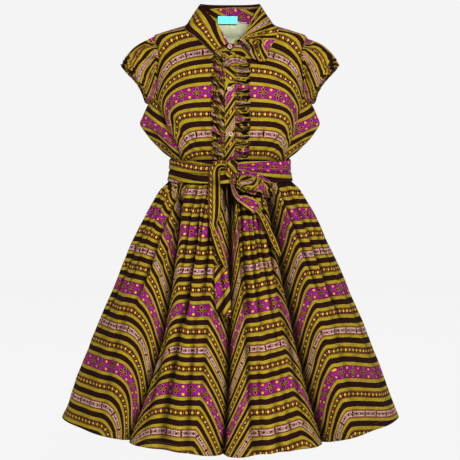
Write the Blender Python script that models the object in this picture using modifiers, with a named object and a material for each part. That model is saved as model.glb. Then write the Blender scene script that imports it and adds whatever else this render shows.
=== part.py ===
"""Knee-length shirt dress in striped ankara wax print, filled out as it is worn.

Metres, +Z up. The dress faces -Y, so the wearer's left is +X. The origin is on the wearer's centre
line, midway between front and back and level with the shoulder seams at the collar's edge, where
the shoulders carry the dress.
Bearings are degrees round the body: 0 is the centre front, 90 the wearer's left side and 180 the
centre back. Every cloth panel is an open grid laid on one of two surfaces, the bodice or the skirt,
and thickened inward by Solidify.
"""

import math
from collections import namedtuple

import bmesh
import bpy
import numpy as np
from mathutils import Vector

# ---------------------------------------------------------------- driving dimensions
CLOTH = 0.0012  # wall of a single layer of cloth
BELT = 0.0018  # wall of the sash, two layers sewn together
SEAM_GAP = 0.0005  # between the two panels of a seam
LAY_GAP = 0.0004  # between a piece and what it lies on

WAIST_Z = -0.329
HEM_Z = -0.9175
NECK_FRONT_Z = -0.060
NECK_BACK_Z = 0.018
NECK_SIDE_Z = 0.008
SHOULDER_TIP_Z = -0.023
SASH_TOP_Z = -0.303
SASH_FOOT_Z = -0.352
UNDERARM_Z = -0.177
ARMHOLE_FOOT_Z = -0.163
UNDERARM_REACH = 15.0  # bearing from the side seam line to the armhole's foot
FRONT_EDGE_BEARING = 0.2  # where the two fronts meet, under the placket
NECK_EASE = 1.0  # how soon the neckline climbs from the centre front

# One row for each level of the bodice: half width, depth in front and behind, squareness of the
# oval, how far the loose side panel wings out, how deep the crease at its seams is, and the
# bearings of the right front, left front and back seams of the side panels.
Torso = namedtuple("Torso", "z side front back square wing crease seam_right seam_left seam_back")
TORSO = [
    Torso(-0.345, 0.1370, 0.102, 0.098, 2.2, 0.000, 0.000, 62.0, 67.0, 117.0),
    Torso(-0.303, 0.1365, 0.103, 0.099, 2.2, 0.000, 0.000, 60.5, 67.0, 117.0),
    Torso(-0.292, 0.1400, 0.109, 0.103, 2.3, 0.010, 0.004, 60.0, 68.0, 116.0),
    Torso(-0.278, 0.1440, 0.117, 0.108, 2.4, 0.021, 0.008, 59.5, 69.5, 115.0),
    Torso(-0.260, 0.1490, 0.125, 0.113, 2.5, 0.034, 0.011, 60.0, 71.0, 113.0),
    Torso(-0.241, 0.1530, 0.130, 0.115, 2.6, 0.044, 0.013, 62.5, 72.0, 111.0),
    Torso(-0.223, 0.1570, 0.132, 0.116, 2.6, 0.051, 0.013, 66.5, 73.0, 109.0),
    Torso(-0.204, 0.1610, 0.132, 0.116, 2.6, 0.040, 0.010, 70.5, 74.0, 107.0),
    Torso(-0.177, 0.1660, 0.131, 0.115, 2.6, 0.023, 0.006, 74.0, 75.0, 105.5),
    Torso(-0.163, 0.1680, 0.129, 0.114, 2.6, 0.014, 0.003, 75.0, 75.0, 105.0),
    Torso(-0.140, 0.1690, 0.124, 0.113, 2.6, 0.004, 0.000, 75.0, 75.0, 105.0),
    Torso(-0.100, 0.1710, 0.105, 0.109, 2.6, 0.000, 0.000, 75.0, 75.0, 105.0),
    Torso(-0.060, 0.1730, 0.078, 0.102, 2.5, 0.000, 0.000, 75.0, 75.0, 105.0),
    Torso(-0.023, 0.1736, 0.060, 0.084, 2.3, 0.000, 0.000, 75.0, 75.0, 105.0),
    Torso(-0.012, 0.1450, 0.058, 0.072, 2.2, 0.000, 0.000, 75.0, 75.0, 105.0),
    Torso(-0.002, 0.1120, 0.057, 0.065, 2.1, 0.000, 0.000, 75.0, 75.0, 105.0),
    Torso(0.008, 0.0760, 0.056, 0.061, 2.0, 0.000, 0.000, 75.0, 75.0, 105.0),
    Torso(0.022, 0.0500, 0.050, 0.056, 2.0, 0.000, 0.000, 75.0, 75.0, 105.0),
]
WING_WIDTH = 13.0  # degrees
WING_SHARPNESS = 1.6
CREASE_WIDTH = 4.0

# The side edge of a front or back, from the waist to the neck point, by share of the way up:
# its height, and how much of the way it has moved from the side panel's seam to the shoulder.
Edge = namedtuple("Edge", "up z bite")
SIDE_EDGE = [
    Edge(0.00, WAIST_Z + SEAM_GAP, 0.00),
    Edge(0.08, SASH_TOP_Z + 0.0005, 0.00),
    Edge(0.22, -0.233, 0.00),
    Edge(0.36, ARMHOLE_FOOT_Z, 0.00),
    Edge(0.54, -0.090, 0.04),
    Edge(0.63, -0.048, 0.34),
    Edge(0.70, SHOULDER_TIP_Z, 1.00),
    Edge(0.80, -0.0105, 1.00),
    Edge(0.90, -0.0005, 1.00),
    Edge(1.00, NECK_SIDE_Z, 1.00),
]
SASH_UP = 0.08
ARMHOLE_FOOT_UP = 0.36
SHOULDER_TIP_UP = 0.70

# One row for each level of the skirt, with the bearings of its front seams and the depth that the
# cloth sinks into the body at the centre seams and at the others.
Flare = namedtuple("Flare", "z side front back square seam_right seam_left seam_front centre valley")
FLARE = [
    Flare(-0.329, 0.1370, 0.102, 0.098, 2.2, 60.0, 47.0, 0.0, 0.000, 0.000),
    Flare(-0.352, 0.1425, 0.106, 0.102, 2.1, 59.0, 46.0, 0.0, 0.001, 0.001),
    Flare(-0.371, 0.1620, 0.119, 0.113, 2.0, 58.0, 45.0, 0.0, 0.007, 0.006),
    Flare(-0.399, 0.1800, 0.132, 0.125, 1.9, 55.0, 44.0, 0.0, 0.014, 0.012),
    Flare(-0.455, 0.2110, 0.152, 0.144, 1.9, 50.0, 43.5, 0.0, 0.026, 0.020),
    Flare(-0.531, 0.2470, 0.178, 0.167, 1.8, 48.0, 43.5, 0.0, 0.036, 0.027),
    Flare(-0.627, 0.2880, 0.208, 0.194, 1.8, 46.5, 44.0, -0.5, 0.045, 0.034),
    Flare(-0.723, 0.3290, 0.236, 0.220, 1.7, 47.0, 45.5, -1.0, 0.052, 0.040),
    Flare(-0.820, 0.3680, 0.261, 0.242, 1.60, 50.0, 48.0, -2.0, 0.058, 0.045),
    Flare(-0.945, 0.4140, 0.291, 0.268, 1.52, 54.5, 51.0, -4.5, 0.062, 0.048),
]
BACK_SEAM = 132.0
VALLEY_WIDTH = 11.5  # degrees
VALLEY_SHARPNESS = 1.5
CENTRE_HEM_DROP = 0.017  # the bias cloth of a centre seam hangs this much lower
SIDE_HEM_DROP = 0.011  # and that of the other seams this much
HEM_DROP_WIDTH = 14.0

# Soft lengthwise folds of the skirt between its seams.
Flute = namedtuple("Flute", "bearing width depth")
FLUTES = [
    Flute(-31.0, 5.0, 0.007),
    Flute(-19.0, 4.0, 0.005),
    Flute(13.0, 4.0, 0.008),
    Flute(23.0, 3.5, 0.007),
    Flute(33.0, 4.0, 0.005),
    Flute(-76.0, 6.0, 0.007),
    Flute(72.0, 6.0, 0.008),
    Flute(-103.0, 7.0, 0.009),
    Flute(101.0, 7.0, 0.010),
    Flute(-148.0, 5.0, 0.008),
    Flute(-163.0, 5.0, 0.006),
    Flute(150.0, 5.0, 0.007),
    Flute(166.0, 5.0, 0.007),
]
FLUTE_TOP_Z = -0.36
FLUTE_FULL_Z = -0.50
GATHERS = 28
GATHER_DEPTH = 0.0026
GATHER_START = 0.012  # height below the sash in which they grow
GATHER_FADE = 0.075  # height over which they die away

# ---------------------------------------------------------------- curves and surfaces
def smooth(keys, values):
    """A monotone cubic curve through a table's points, so that it never overshoots them."""
    keys, values = np.asarray(keys, float), np.asarray(values, float)
    steps = np.diff(keys)
    slopes = np.diff(values) / steps
    tangents = np.concatenate([[slopes[0]], (slopes[:-1] + slopes[1:]) / 2, [slopes[-1]]])
    turning = slopes[:-1] * slopes[1:] <= 0
    tangents[1:-1][turning] = 0.0
    limit = 3 * np.minimum(np.abs(slopes[:-1]), np.abs(slopes[1:]))
    tangents[1:-1] = np.clip(tangents[1:-1], -limit, limit)

    def curve(where):
        where = np.clip(where, keys[0], keys[-1])
        i = np.clip(np.searchsorted(keys, where, side="right") - 1, 0, len(steps) - 1)
        h = steps[i]
        t = (where - keys[i]) / h
        start = values[i] * (1 + 2 * t) * (1 - t) ** 2 + h * tangents[i] * t * (1 - t) ** 2
        end = values[i + 1] * t * t * (3 - 2 * t) - h * tangents[i + 1] * t * t * (1 - t)
        return start + end

    return curve


def columns(rows, key):
    """A smooth curve for each column of a table, by its key column."""
    rows = sorted(rows, key=lambda row: getattr(row, key))
    keys = [getattr(row, key) for row in rows]
    return {
        name: smooth(keys, [getattr(row, name) for row in rows])
        for name in rows[0]._fields
        if name != key
    }


TORSO_AT = columns(TORSO, "z")
FLARE_AT = columns(FLARE, "z")


def ramp(x):
    x = np.clip(x, 0.0, 1.0)
    return x * x * (3 - 2 * x)


def oval(bearing, side, front, back, square):
    angle = np.radians(bearing)
    depth = np.where(np.cos(angle) > 0, front, back)
    across = np.abs(np.sin(angle)) / side
    along = np.abs(np.cos(angle)) / depth
    return (across**square + along**square) ** (-1 / square)


def placed(radius, bearing, z):
    angle = np.radians(bearing)
    return np.stack([radius * np.sin(angle), -radius * np.cos(angle), z + 0 * radius], axis=-1)


def side_seam(bearing, z):
    """Bearing, from the front, of the side panel's seam on the same quarter of the bodice."""
    front = np.where(bearing > 0, TORSO_AT["seam_left"](z), TORSO_AT["seam_right"](z))
    return np.where(np.abs(bearing) < 90.0, front, TORSO_AT["seam_back"](z))


def bodice(bearing, z, out=0.0):
    """Outer face of the bodice, or a surface that lies out beyond it."""
    at = {name: curve(z) for name, curve in TORSO_AT.items()}
    radius = oval(bearing, at["side"], at["front"], at["back"], at["square"])
    from_side = np.abs(np.abs(bearing) - 90.0) / WING_WIDTH
    radius = radius + at["wing"] * np.exp(-(from_side**WING_SHARPNESS))
    from_seam = (np.abs(bearing) - side_seam(bearing, z)) / CREASE_WIDTH
    radius = radius - at["crease"] * np.exp(-(from_seam**2))
    return placed(radius + out, bearing, z)


def skirt_seams(z):
    """(right front, front, left front, left back, back, right back) seam bearings at a height."""
    back = BACK_SEAM + 0 * z
    return (
        -FLARE_AT["seam_right"](z),
        FLARE_AT["seam_front"](z),
        FLARE_AT["seam_left"](z),
        back,
        180.0 + 0 * z,
        360.0 - back,
    )


SEAM_DEPTHS = ("valley", "centre", "valley", "valley", "centre", "valley")
HEM_DROPS = {"valley": SIDE_HEM_DROP, "centre": CENTRE_HEM_DROP}


def turn_between(a, b):
    """Signed degrees from b to a, the short way round."""
    return (a - b + 180.0) % 360.0 - 180.0


def skirt_fold(bearing, z):
    """How far the skirt's surface sinks below its oval: seam valleys, soft flutes and gathers."""
    sunk = 0.0
    for seam, depth in zip(skirt_seams(z), SEAM_DEPTHS):
        away = np.abs(turn_between(bearing, seam)) / VALLEY_WIDTH
        sunk = sunk + FLARE_AT[depth](z) * np.exp(-(away**VALLEY_SHARPNESS))
    grown = ramp((FLUTE_TOP_Z - z) / (FLUTE_TOP_Z - FLUTE_FULL_Z))
    for flute in FLUTES:
        away = turn_between(bearing, flute.bearing) / flute.width
        sunk = sunk + flute.depth * grown * np.exp(-(away**2))
    below = np.maximum(SASH_FOOT_Z - z, 0.0)
    gather = GATHER_DEPTH * ramp(below / GATHER_START) * np.exp(-below / GATHER_FADE)
    return sunk + gather * (1 + np.cos(np.radians(bearing * GATHERS)))


def skirt(bearing, z, out=0.0, folded=True):
    """Outer face of the skirt, or a surface that lies out beyond it."""
    at = {name: curve(z) for name, curve in FLARE_AT.items()}
    radius = oval(bearing, at["side"], at["front"], at["back"], at["square"])
    if folded:
        radius = radius - skirt_fold(bearing, z)
    return placed(radius + out, bearing, z)


def hem_z(bearing):
    """Height of the hem: level, but lower at every seam."""
    z = HEM_Z + 0.0 * bearing
    for seam, depth in zip(skirt_seams(HEM_Z), SEAM_DEPTHS):
        away = turn_between(bearing, float(seam)) / HEM_DROP_WIDTH
        z = z - HEM_DROPS[depth] * np.exp(-(away**2))
    return z


def skirt_hull(bearing, z, out=0.0):
    """The skirt's surface with no folds, which nothing of the skirt reaches beyond."""
    return skirt(bearing, z, out, folded=False)


BEARING_STEPS = 8  # rounds in which a bearing is found from a width
MOST_ACROSS = 0.97  # share of the reach beyond which a width has no bearing


def in_front(surface, x, z, out=0.0):
    """Points of a surface at widths and heights, seen from the front, moved forward by out."""
    bearing = 0.0 * x
    for _ in range(BEARING_STEPS):
        point = surface(bearing, z)
        reach = np.hypot(point[..., 0], point[..., 1])
        bearing = np.degrees(np.arcsin(np.clip(x / reach, -MOST_ACROSS, MOST_ACROSS)))
    point = surface(bearing, z)
    return np.stack([point[..., 0], point[..., 1] - out, point[..., 2]], axis=-1)


# ---------------------------------------------------------------- making objects
def start_scene():
    for thing in list(bpy.data.objects):
        bpy.data.objects.remove(thing)
    made = bpy.data.collections.new("ankara_wax_print_dress")
    bpy.context.scene.collection.children.link(made)
    return made


Finish = namedtuple("Finish", "colour roughness")
WAX_PRINT = Finish((0.42, 0.33, 0.06), 0.75)
BUTTON_PINK = Finish((0.72, 0.52, 0.48), 0.35)
LABEL_BLUE = Finish((0.18, 0.80, 0.82), 0.70)


def finish_of(name, finish):
    """A material of a piece's own."""
    material = bpy.data.materials.new(name)
    material.use_nodes = True
    shader = material.node_tree.nodes["Principled BSDF"]
    shader.inputs["Base Color"].default_value = (*finish.colour, 1.0)
    shader.inputs["Roughness"].default_value = finish.roughness
    shader.inputs["Metallic"].default_value = 0.0
    return material


def linked(name, mesh, finish):
    mesh.materials.append(finish_of(name, finish))
    piece = bpy.data.objects.new(name, mesh)
    COLLECTION.objects.link(piece)
    return piece


def cloth(name, points, wall=CLOTH, closed=False, finish=WAX_PRINT):
    """One piece of cloth: a grid of points on its outer face, thickened inward.

    points is [across][down] with the across direction to the viewer's right, seen from outside.
    A closed grid's last column joins its first.
    """
    wide, high = points.shape[:2]
    vertices = [tuple(p) for column in points for p in column]
    faces = []
    for i in range(wide if closed else wide - 1):
        j = (i + 1) % wide
        for k in range(high - 1):
            faces.append((i * high + k, i * high + k + 1, j * high + k + 1, j * high + k))
    mesh = bpy.data.meshes.new(name)
    mesh.from_pydata(vertices, [], faces)
    mesh.shade_smooth()
    piece = linked(name, mesh, finish)
    thicken = piece.modifiers.new("wall", "SOLIDIFY")
    thicken.thickness = wall
    thicken.offset = -1.0
    thicken.use_even_offset = False
    return piece


def pairs(across, down):
    """Every pair of the two lists of values, as two grids."""
    return np.meshgrid(across, down, indexing="ij")


# ---------------------------------------------------------------- bodice
EDGE_AT = columns(SIDE_EDGE, "up")
FRONT_COLUMNS = 13
BACK_COLUMNS = 10
SIDE_COLUMNS = 11
BODICE_UPS = (0.0, 0.08, 0.11, 0.15, 0.20, 0.25, 0.30, 0.36, 0.44, 0.54, 0.63, 0.70, 0.80, 0.90, 1.0)
SIDE_UPS = [up for up in BODICE_UPS if up <= ARMHOLE_FOOT_UP]
FRONT_QUARTER, BACK_QUARTER = 60.0, 120.0  # a bearing on each quarter of the bodice
SEAM_RADIUS = 0.16  # of the bodice at its side seams
SEAM_TURN = math.degrees(SEAM_GAP / 2 / SEAM_RADIUS)  # half the seam gap as a bearing
SHOULDER_TURN = 0.20  # and at the shoulder seam, where the walls lean together


def panel_edge(up, centre_bearing, sign):
    """Bearing (without its sign) and height of the side edge of a front or back."""
    z = EDGE_AT["z"](up)
    from_front = centre_bearing < 90.0
    seam = side_seam(sign * (FRONT_QUARTER if from_front else BACK_QUARTER), z)
    bite = EDGE_AT["bite"](up)
    turn = SEAM_TURN + (SHOULDER_TURN - SEAM_TURN) * bite
    return seam + (90.0 - seam) * bite + (-turn if from_front else turn), z


def level(up, low, high):
    """Height by share of the way up, level under the sash and spread evenly above it."""
    foot = WAIST_Z + SEAM_GAP
    under = foot + (low - foot) * up / SASH_UP
    above = low + (high - low) * (up - SASH_UP) / (1 - SASH_UP)
    return np.where(up < SASH_UP, under, above)


def panel_point(along, up, centre_bearing, centre_top, sign):
    """A point of a front or back: along runs from its centre line (0) to its side edge (1)."""
    edge_bearing, edge_z = panel_edge(up, centre_bearing, sign)
    bearing = centre_bearing + (edge_bearing - centre_bearing) * along
    centre_z = level(up, EDGE_AT["z"](SASH_UP), centre_top)
    climb = np.sin(np.radians(90.0 * along)) ** NECK_EASE
    return sign * bearing, centre_z + (edge_z - centre_z) * climb


def underarm_z(bearing):
    """Height of the side panel's top edge."""
    share = np.abs((np.abs(bearing) - 90.0) / UNDERARM_REACH)
    return UNDERARM_Z + (ARMHOLE_FOOT_Z - UNDERARM_Z) * share**2


def bodice_front(side, sign):
    along, up = pairs(np.linspace(0, 1, FRONT_COLUMNS)[::sign], BODICE_UPS[::-1])
    bearing, z = panel_point(along, up, FRONT_EDGE_BEARING, NECK_FRONT_Z, sign)
    cloth(f"bodice_front_{side}", bodice(bearing, z))


def bodice_side(side, sign):
    across, up = pairs(np.linspace(0, 1, SIDE_COLUMNS)[::sign], SIDE_UPS[::-1])
    edge_z = EDGE_AT["z"](up)
    low = EDGE_AT["z"](SASH_UP)
    drop = ARMHOLE_FOOT_Z - underarm_z(90.0 - UNDERARM_REACH * (1 - 2 * across))
    z = edge_z - drop * np.clip((edge_z - low) / (ARMHOLE_FOOT_Z - low), 0, 1)
    front = side_seam(sign * FRONT_QUARTER, edge_z) + SEAM_TURN
    back = side_seam(sign * BACK_QUARTER, edge_z) - SEAM_TURN
    cloth(f"bodice_side_{side}", bodice(sign * (front + (back - front) * across), z))


def bodice_back():
    halves = []
    for sign in (1, -1):
        along, up = pairs(np.linspace(1, 0, BACK_COLUMNS)[::sign], BODICE_UPS[::-1])
        halves.append(bodice(*panel_point(along, up, 180.0, NECK_BACK_Z, sign)))
    cloth("bodice_back", np.concatenate([halves[0], halves[1][1:]]))


# ---------------------------------------------------------------- sleeves
SLEEVE_COLUMNS = 40
SLEEVE_ROWS = 6
CUFF_TOP = np.array([0.2515, 0.000, -0.085])
CUFF_FOOT = np.array([0.1925, 0.000, -0.177])
CUFF_HALF_DEPTH = 0.054
SLEEVE_PUFF = 0.015
CAP_PUFF = 0.55  # share of the puff that is only over the cap
PUFF_RISE = 0.8  # under 1, the puff is fullest nearer the armhole
SLEEVE_START = 0.0012  # clear of the armhole's edge
SLEEVE_GATHERS = 10
CUFF_GATHER_DEPTH = 0.0024
ARMHOLE_GATHER_DEPTH = 0.0012
ARMHOLE_STEPS = 24  # along each edge of a front or back
UNDERARM_STEPS = 12


def armhole(sign):
    """Points round an armhole: shoulder tip, down the front, underarm, up the back."""
    front = np.linspace(SHOULDER_TIP_UP, ARMHOLE_FOOT_UP, ARMHOLE_STEPS)
    under = np.linspace(90.0 - UNDERARM_REACH, 90.0 + UNDERARM_REACH, UNDERARM_STEPS)[1:-1]
    back = front[:0:-1]
    pieces = [
        panel_point(1.0, front, FRONT_EDGE_BEARING, NECK_FRONT_Z, sign),
        (sign * under, underarm_z(under)),
        panel_point(1.0, back, 180.0, NECK_BACK_Z, sign),
    ]
    return evenly(np.concatenate([bodice(bearing, z) for bearing, z in pieces]), SLEEVE_COLUMNS)


def evenly(loop, count):
    """A closed loop's points, spaced evenly along it."""
    ring = np.vstack([loop, loop[:1]])
    run = np.concatenate([[0], np.cumsum(np.linalg.norm(np.diff(ring, axis=0), axis=1))])
    where = np.linspace(0, run[-1], count, endpoint=False)
    return np.stack([np.interp(where, run, ring[:, k]) for k in range(3)], axis=-1)


def sleeve(side, sign):
    flip = np.array([sign, 1.0, 1.0])
    centre = (CUFF_TOP + CUFF_FOOT) / 2 * flip
    rise = (CUFF_TOP - CUFF_FOOT) / 2 * flip
    outward = np.cross([0.0, 1.0, 0.0], rise) * sign
    outward /= np.linalg.norm(outward)
    turn = np.linspace(0, 2 * math.pi, SLEEVE_COLUMNS, endpoint=False)[:, None]
    spoke = rise * np.cos(turn) + np.array([0, -CUFF_HALF_DEPTH, 0]) * np.sin(turn)
    root = armhole(sign)
    start = root + SLEEVE_START * outward
    away = spoke / np.linalg.norm(spoke, axis=1, keepdims=True)
    down = np.linspace(0, 1, SLEEVE_ROWS)
    puff = SLEEVE_PUFF * (1 - CAP_PUFF + CAP_PUFF * np.cos(turn)) * np.sin(math.pi * down**PUFF_RISE)
    gather = CUFF_GATHER_DEPTH * down**2 + ARMHOLE_GATHER_DEPTH * (1 - down) ** 2 * (down > 0)
    lift = puff + gather * np.cos(SLEEVE_GATHERS * turn)
    path = start[:, None] + (centre + spoke - start)[:, None] * down[None, :, None]
    points = path + away[:, None] * lift[..., None]
    cloth(f"sleeve_{side}", points[::-sign], closed=True)


# ---------------------------------------------------------------- collar
# One row for each place round the collar, from the wearer's right front end to the left: where
# the fold at its top is, where the outer edge is, how far that edge stands off the bodice and how
# far the cloth between them rolls out.
Leaf = namedtuple("Leaf", "place fold fold_radius fold_z edge edge_z lift roll")
COLLAR = [
    Leaf(0.00, -2.0, 0.0860, -0.0430, -26.0, -0.0640, 0.0040, 0.002),
    Leaf(0.08, -14.0, 0.0740, -0.0180, -42.0, -0.0420, 0.0040, 0.003),
    Leaf(0.16, -30.0, 0.0660, 0.0060, -60.0, -0.0180, 0.0040, 0.003),
    Leaf(0.25, -60.0, 0.0655, 0.0330, -78.0, 0.0010, 0.0040, 0.002),
    Leaf(0.33, -95.0, 0.0680, 0.0495, -100.0, 0.0030, 0.0050, 0.001),
    Leaf(0.42, -138.0, 0.0660, 0.0520, -138.0, -0.0040, 0.0080, 0.004),
    Leaf(0.50, -180.0, 0.0640, 0.0530, -180.0, -0.0060, 0.0100, 0.006),
    Leaf(0.58, -222.0, 0.0660, 0.0520, -222.0, -0.0040, 0.0080, 0.004),
    Leaf(0.67, -265.0, 0.0680, 0.0495, -262.0, 0.0030, 0.0050, 0.001),
    Leaf(0.75, -300.0, 0.0660, 0.0270, -284.0, 0.0010, 0.0060, 0.002),
    Leaf(0.82, -315.0, 0.0680, 0.0080, -297.0, -0.0200, 0.0080, 0.003),
    Leaf(0.87, -325.0, 0.0710, -0.0060, -302.7, -0.0350, 0.0100, 0.004),
    Leaf(0.92, -333.5, 0.0755, -0.0180, -309.0, -0.0540, 0.0120, 0.005),
    Leaf(0.965, -340.5, 0.0805, -0.0270, -320.5, -0.0840, 0.0120, 0.005),
    Leaf(1.00, -346.0, 0.0850, -0.0345, -331.5, -0.0770, 0.0100, 0.004),
]
LEAF_AT = columns(COLLAR, "place")
COLLAR_COLUMNS = 37
COLLAR_ROWS = 5
LEAF_CREASE = 0.008  # height of the ridge that crosses the left leaf
CREASE_START = 0.76  # its place round the collar
CREASE_GROWTH = 0.10
CREASE_SHARE = 0.42  # how far it is from the fold
CREASE_SHARE_WIDTH = 0.2
ROLL_RISE = 0.4  # how far the roll also lifts the cloth
STAND_ROWS = 3
STAND_COLUMNS = 33
STAND_CROWDING = 0.6  # how much closer its columns are at its ends than at the back
STAND_INSET = 0.0024  # the stand's outer face from the fold of the collar
STAND_DROP = 0.0012  # its top edge below that fold
STAND_RISE = 0.0014  # its foot above the neckline
STAND_START = 6.0  # bearing of its buttoned end
STAND_ROUND = 359.5  # degrees it goes round
PLACES = np.linspace(0, 1, 200)


def collar_fall():
    place, down = pairs(np.linspace(0, 1, COLLAR_COLUMNS), np.linspace(0, 1, COLLAR_ROWS))
    at = {name: curve(place) for name, curve in LEAF_AT.items()}
    fold = placed(at["fold_radius"], at["fold"], at["fold_z"])
    edge_bearing = (at["edge"] + 180.0) % 360.0 - 180.0
    edge = bodice(edge_bearing, at["edge_z"], at["lift"])
    points = fold + (edge - fold) * down[..., None]
    ridge = np.exp(-(((down - CREASE_SHARE) / CREASE_SHARE_WIDTH) ** 2))
    crease = LEAF_CREASE * ramp((place - CREASE_START) / CREASE_GROWTH) * ridge
    roll = at["roll"] * np.sin(math.pi * down)
    out = roll + crease
    turn = np.radians(at["edge"])
    lift = np.stack([np.sin(turn) * out, -np.cos(turn) * out, ROLL_RISE * roll], axis=-1)
    cloth("collar_fall", points + lift)


def neck_z(bearing):
    """Height of the bodice's neckline."""
    from_front = np.abs(bearing) < 90.0
    low = np.where(from_front, NECK_FRONT_Z, NECK_BACK_Z)
    share = np.where(from_front, np.abs(bearing) / 90.0, (180.0 - np.abs(bearing)) / 90.0)
    climb = np.sin(np.radians(90.0 * np.clip(share, 0, 1))) ** NECK_EASE
    return low + (NECK_SIDE_Z - low) * climb


def stand_point(place, up, out=0.0):
    """A point of the collar stand, from the neckline to just under the fold."""
    bearing = STAND_START - STAND_ROUND * place
    nearest = np.interp(-bearing, -LEAF_AT["fold"](PLACES), PLACES)
    top_radius = LEAF_AT["fold_radius"](nearest) - STAND_INSET
    top_z = LEAF_AT["fold_z"](nearest) - STAND_DROP
    wrapped = turn_between(bearing, 0.0)
    foot = bodice(wrapped, neck_z(wrapped))
    foot_radius = np.hypot(foot[..., 0], foot[..., 1])
    radius = foot_radius + (top_radius - foot_radius) * up
    z = foot[..., 2] + STAND_RISE + (top_z - foot[..., 2] - STAND_RISE) * up
    return placed(radius + out, bearing, z)


def stand(bearing, z, out=0.0):
    """The collar stand as a surface of bearing and height."""
    place = (STAND_START - bearing) / STAND_ROUND
    top = stand_point(place, np.ones_like(place))
    low = stand_point(place, np.zeros_like(place))
    up = (z - low[..., 2]) / (top[..., 2] - low[..., 2])
    return stand_point(place, up, out)


def collar_stand():
    even = np.linspace(0, 1, STAND_COLUMNS)
    crowded = even + (0.5 - 0.5 * np.cos(math.pi * even) - even) * STAND_CROWDING
    cloth("collar_stand", stand_point(*pairs(crowded, np.linspace(1, 0, STAND_ROWS))))


LABEL_WIDTH = 0.050
LABEL_HEIGHT = 0.0175
LABEL_TOP_Z = 0.0265
LABEL_ROUND = -0.006  # its middle from the centre back, along the stand
LABEL_WALL = 0.001
LABEL_IN = CLOTH + 0.0012
LABEL_COLUMNS = 5


def neck_label():
    """A bare woven label sewn to the inside of the stand at the centre back."""
    share, z = pairs(
        np.linspace(0.5, -0.5, LABEL_COLUMNS), (LABEL_TOP_Z, LABEL_TOP_Z - LABEL_HEIGHT)
    )
    radius_here = LEAF_AT["fold_radius"](0.5) - STAND_INSET
    turn = np.degrees((LABEL_ROUND - share * LABEL_WIDTH) / radius_here)
    cloth("neck_label", stand(-180.0 - turn, z, -LABEL_IN), LABEL_WALL, finish=LABEL_BLUE)


# ---------------------------------------------------------------- skirt
GORE_DOWNS = (0.0, 0.038, 0.07, 0.115, 0.19, 0.31, 0.46, 0.63, 0.81, 1.0)
FRONT_GORE_COLUMNS = 22
SIDE_GORE_COLUMNS = 29
BACK_GORE_COLUMNS = 19
VALLEY_GAP = 1.5 * SEAM_GAP  # round the skirt, because its seams stand at a slant in the valleys


def gore(name, left, right, columns_across, side=None):
    """One skirt panel between two seams, given as functions of height, viewer's left to right.

    A side panel's middle column lies on the side line.
    """
    share, down = pairs(np.linspace(0, 1, columns_across), GORE_DOWNS)
    top = WAIST_Z - SEAM_GAP
    even = top + (HEM_Z - top) * down
    start, end = left(even), right(even)
    seam = np.degrees(VALLEY_GAP / 2 / FLARE_AT["side"](even))
    start, end = start + seam, end - seam
    bearing = start + (end - start) * share
    if side is not None:
        bearing = np.where(
            share < 0.5, start + (side - start) * 2 * share, side + (end - side) * (2 * share - 1)
        )
    z = top + (hem_z(bearing) - top) * down
    cloth(name, skirt(bearing, z))


def skirt_gores():
    def seam(index, turn=0.0):
        return lambda z: skirt_seams(z)[index] + turn

    gore("skirt_front_right", seam(0), seam(1), FRONT_GORE_COLUMNS)
    gore("skirt_front_left", seam(1), seam(2), FRONT_GORE_COLUMNS)
    gore("skirt_side_left", seam(2), seam(3), SIDE_GORE_COLUMNS, 90.0)
    gore("skirt_back_left", seam(3), seam(4), BACK_GORE_COLUMNS)
    gore("skirt_back_right", seam(4), seam(5), BACK_GORE_COLUMNS)
    gore("skirt_side_right", seam(5, -360.0), seam(0), SIDE_GORE_COLUMNS, -90.0)


# ---------------------------------------------------------------- placket and ruffles
PLACKET_HALF = 0.0115
PLACKET_TOP_Z = -0.066
PLACKET_OUT = CLOTH + 0.0014
PLACKET_COLUMNS = 4
RUFFLE_OUT = CLOTH + 0.0010
RUFFLE_WIDTH = 0.031
RUFFLE_IN = PLACKET_HALF + SEAM_GAP
RUFFLE_FOOT_Z = SASH_TOP_Z + 0.005
RUFFLE_WAVE = 0.0172  # length of one wave, down the dress
RUFFLE_WAVE_ROWS = 5
RUFFLE_DEPTH = 0.0042
RUFFLE_SEWN = 0.25  # how deep the waves are at the sewn edge, as a share of the free edge's
RUFFLE_SHARES = (0.0, 0.5, 1.0)  # its columns, from the sewn edge to the free one
ARCH_X = 0.0080  # centre of the arch in which the left ruffle crosses above the placket
ARCH_Z = -0.1000
ARCH_WIDTH = 0.0240
ARCH_OUT = 0.0052
ARCH_EASE = 0.55  # angle of the arch over which it narrows and rises
RIGHT_RUFFLE_TOP_Z = -0.0740


def placket():
    rows = level(np.array(BODICE_UPS[1:]), EDGE_AT["z"](SASH_UP), NECK_FRONT_Z)
    rows = np.minimum(rows, PLACKET_TOP_Z)[::-1]
    x, z = pairs(np.linspace(-PLACKET_HALF, PLACKET_HALF, PLACKET_COLUMNS), rows)
    cloth("placket", in_front(bodice, x, z, PLACKET_OUT))


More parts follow.
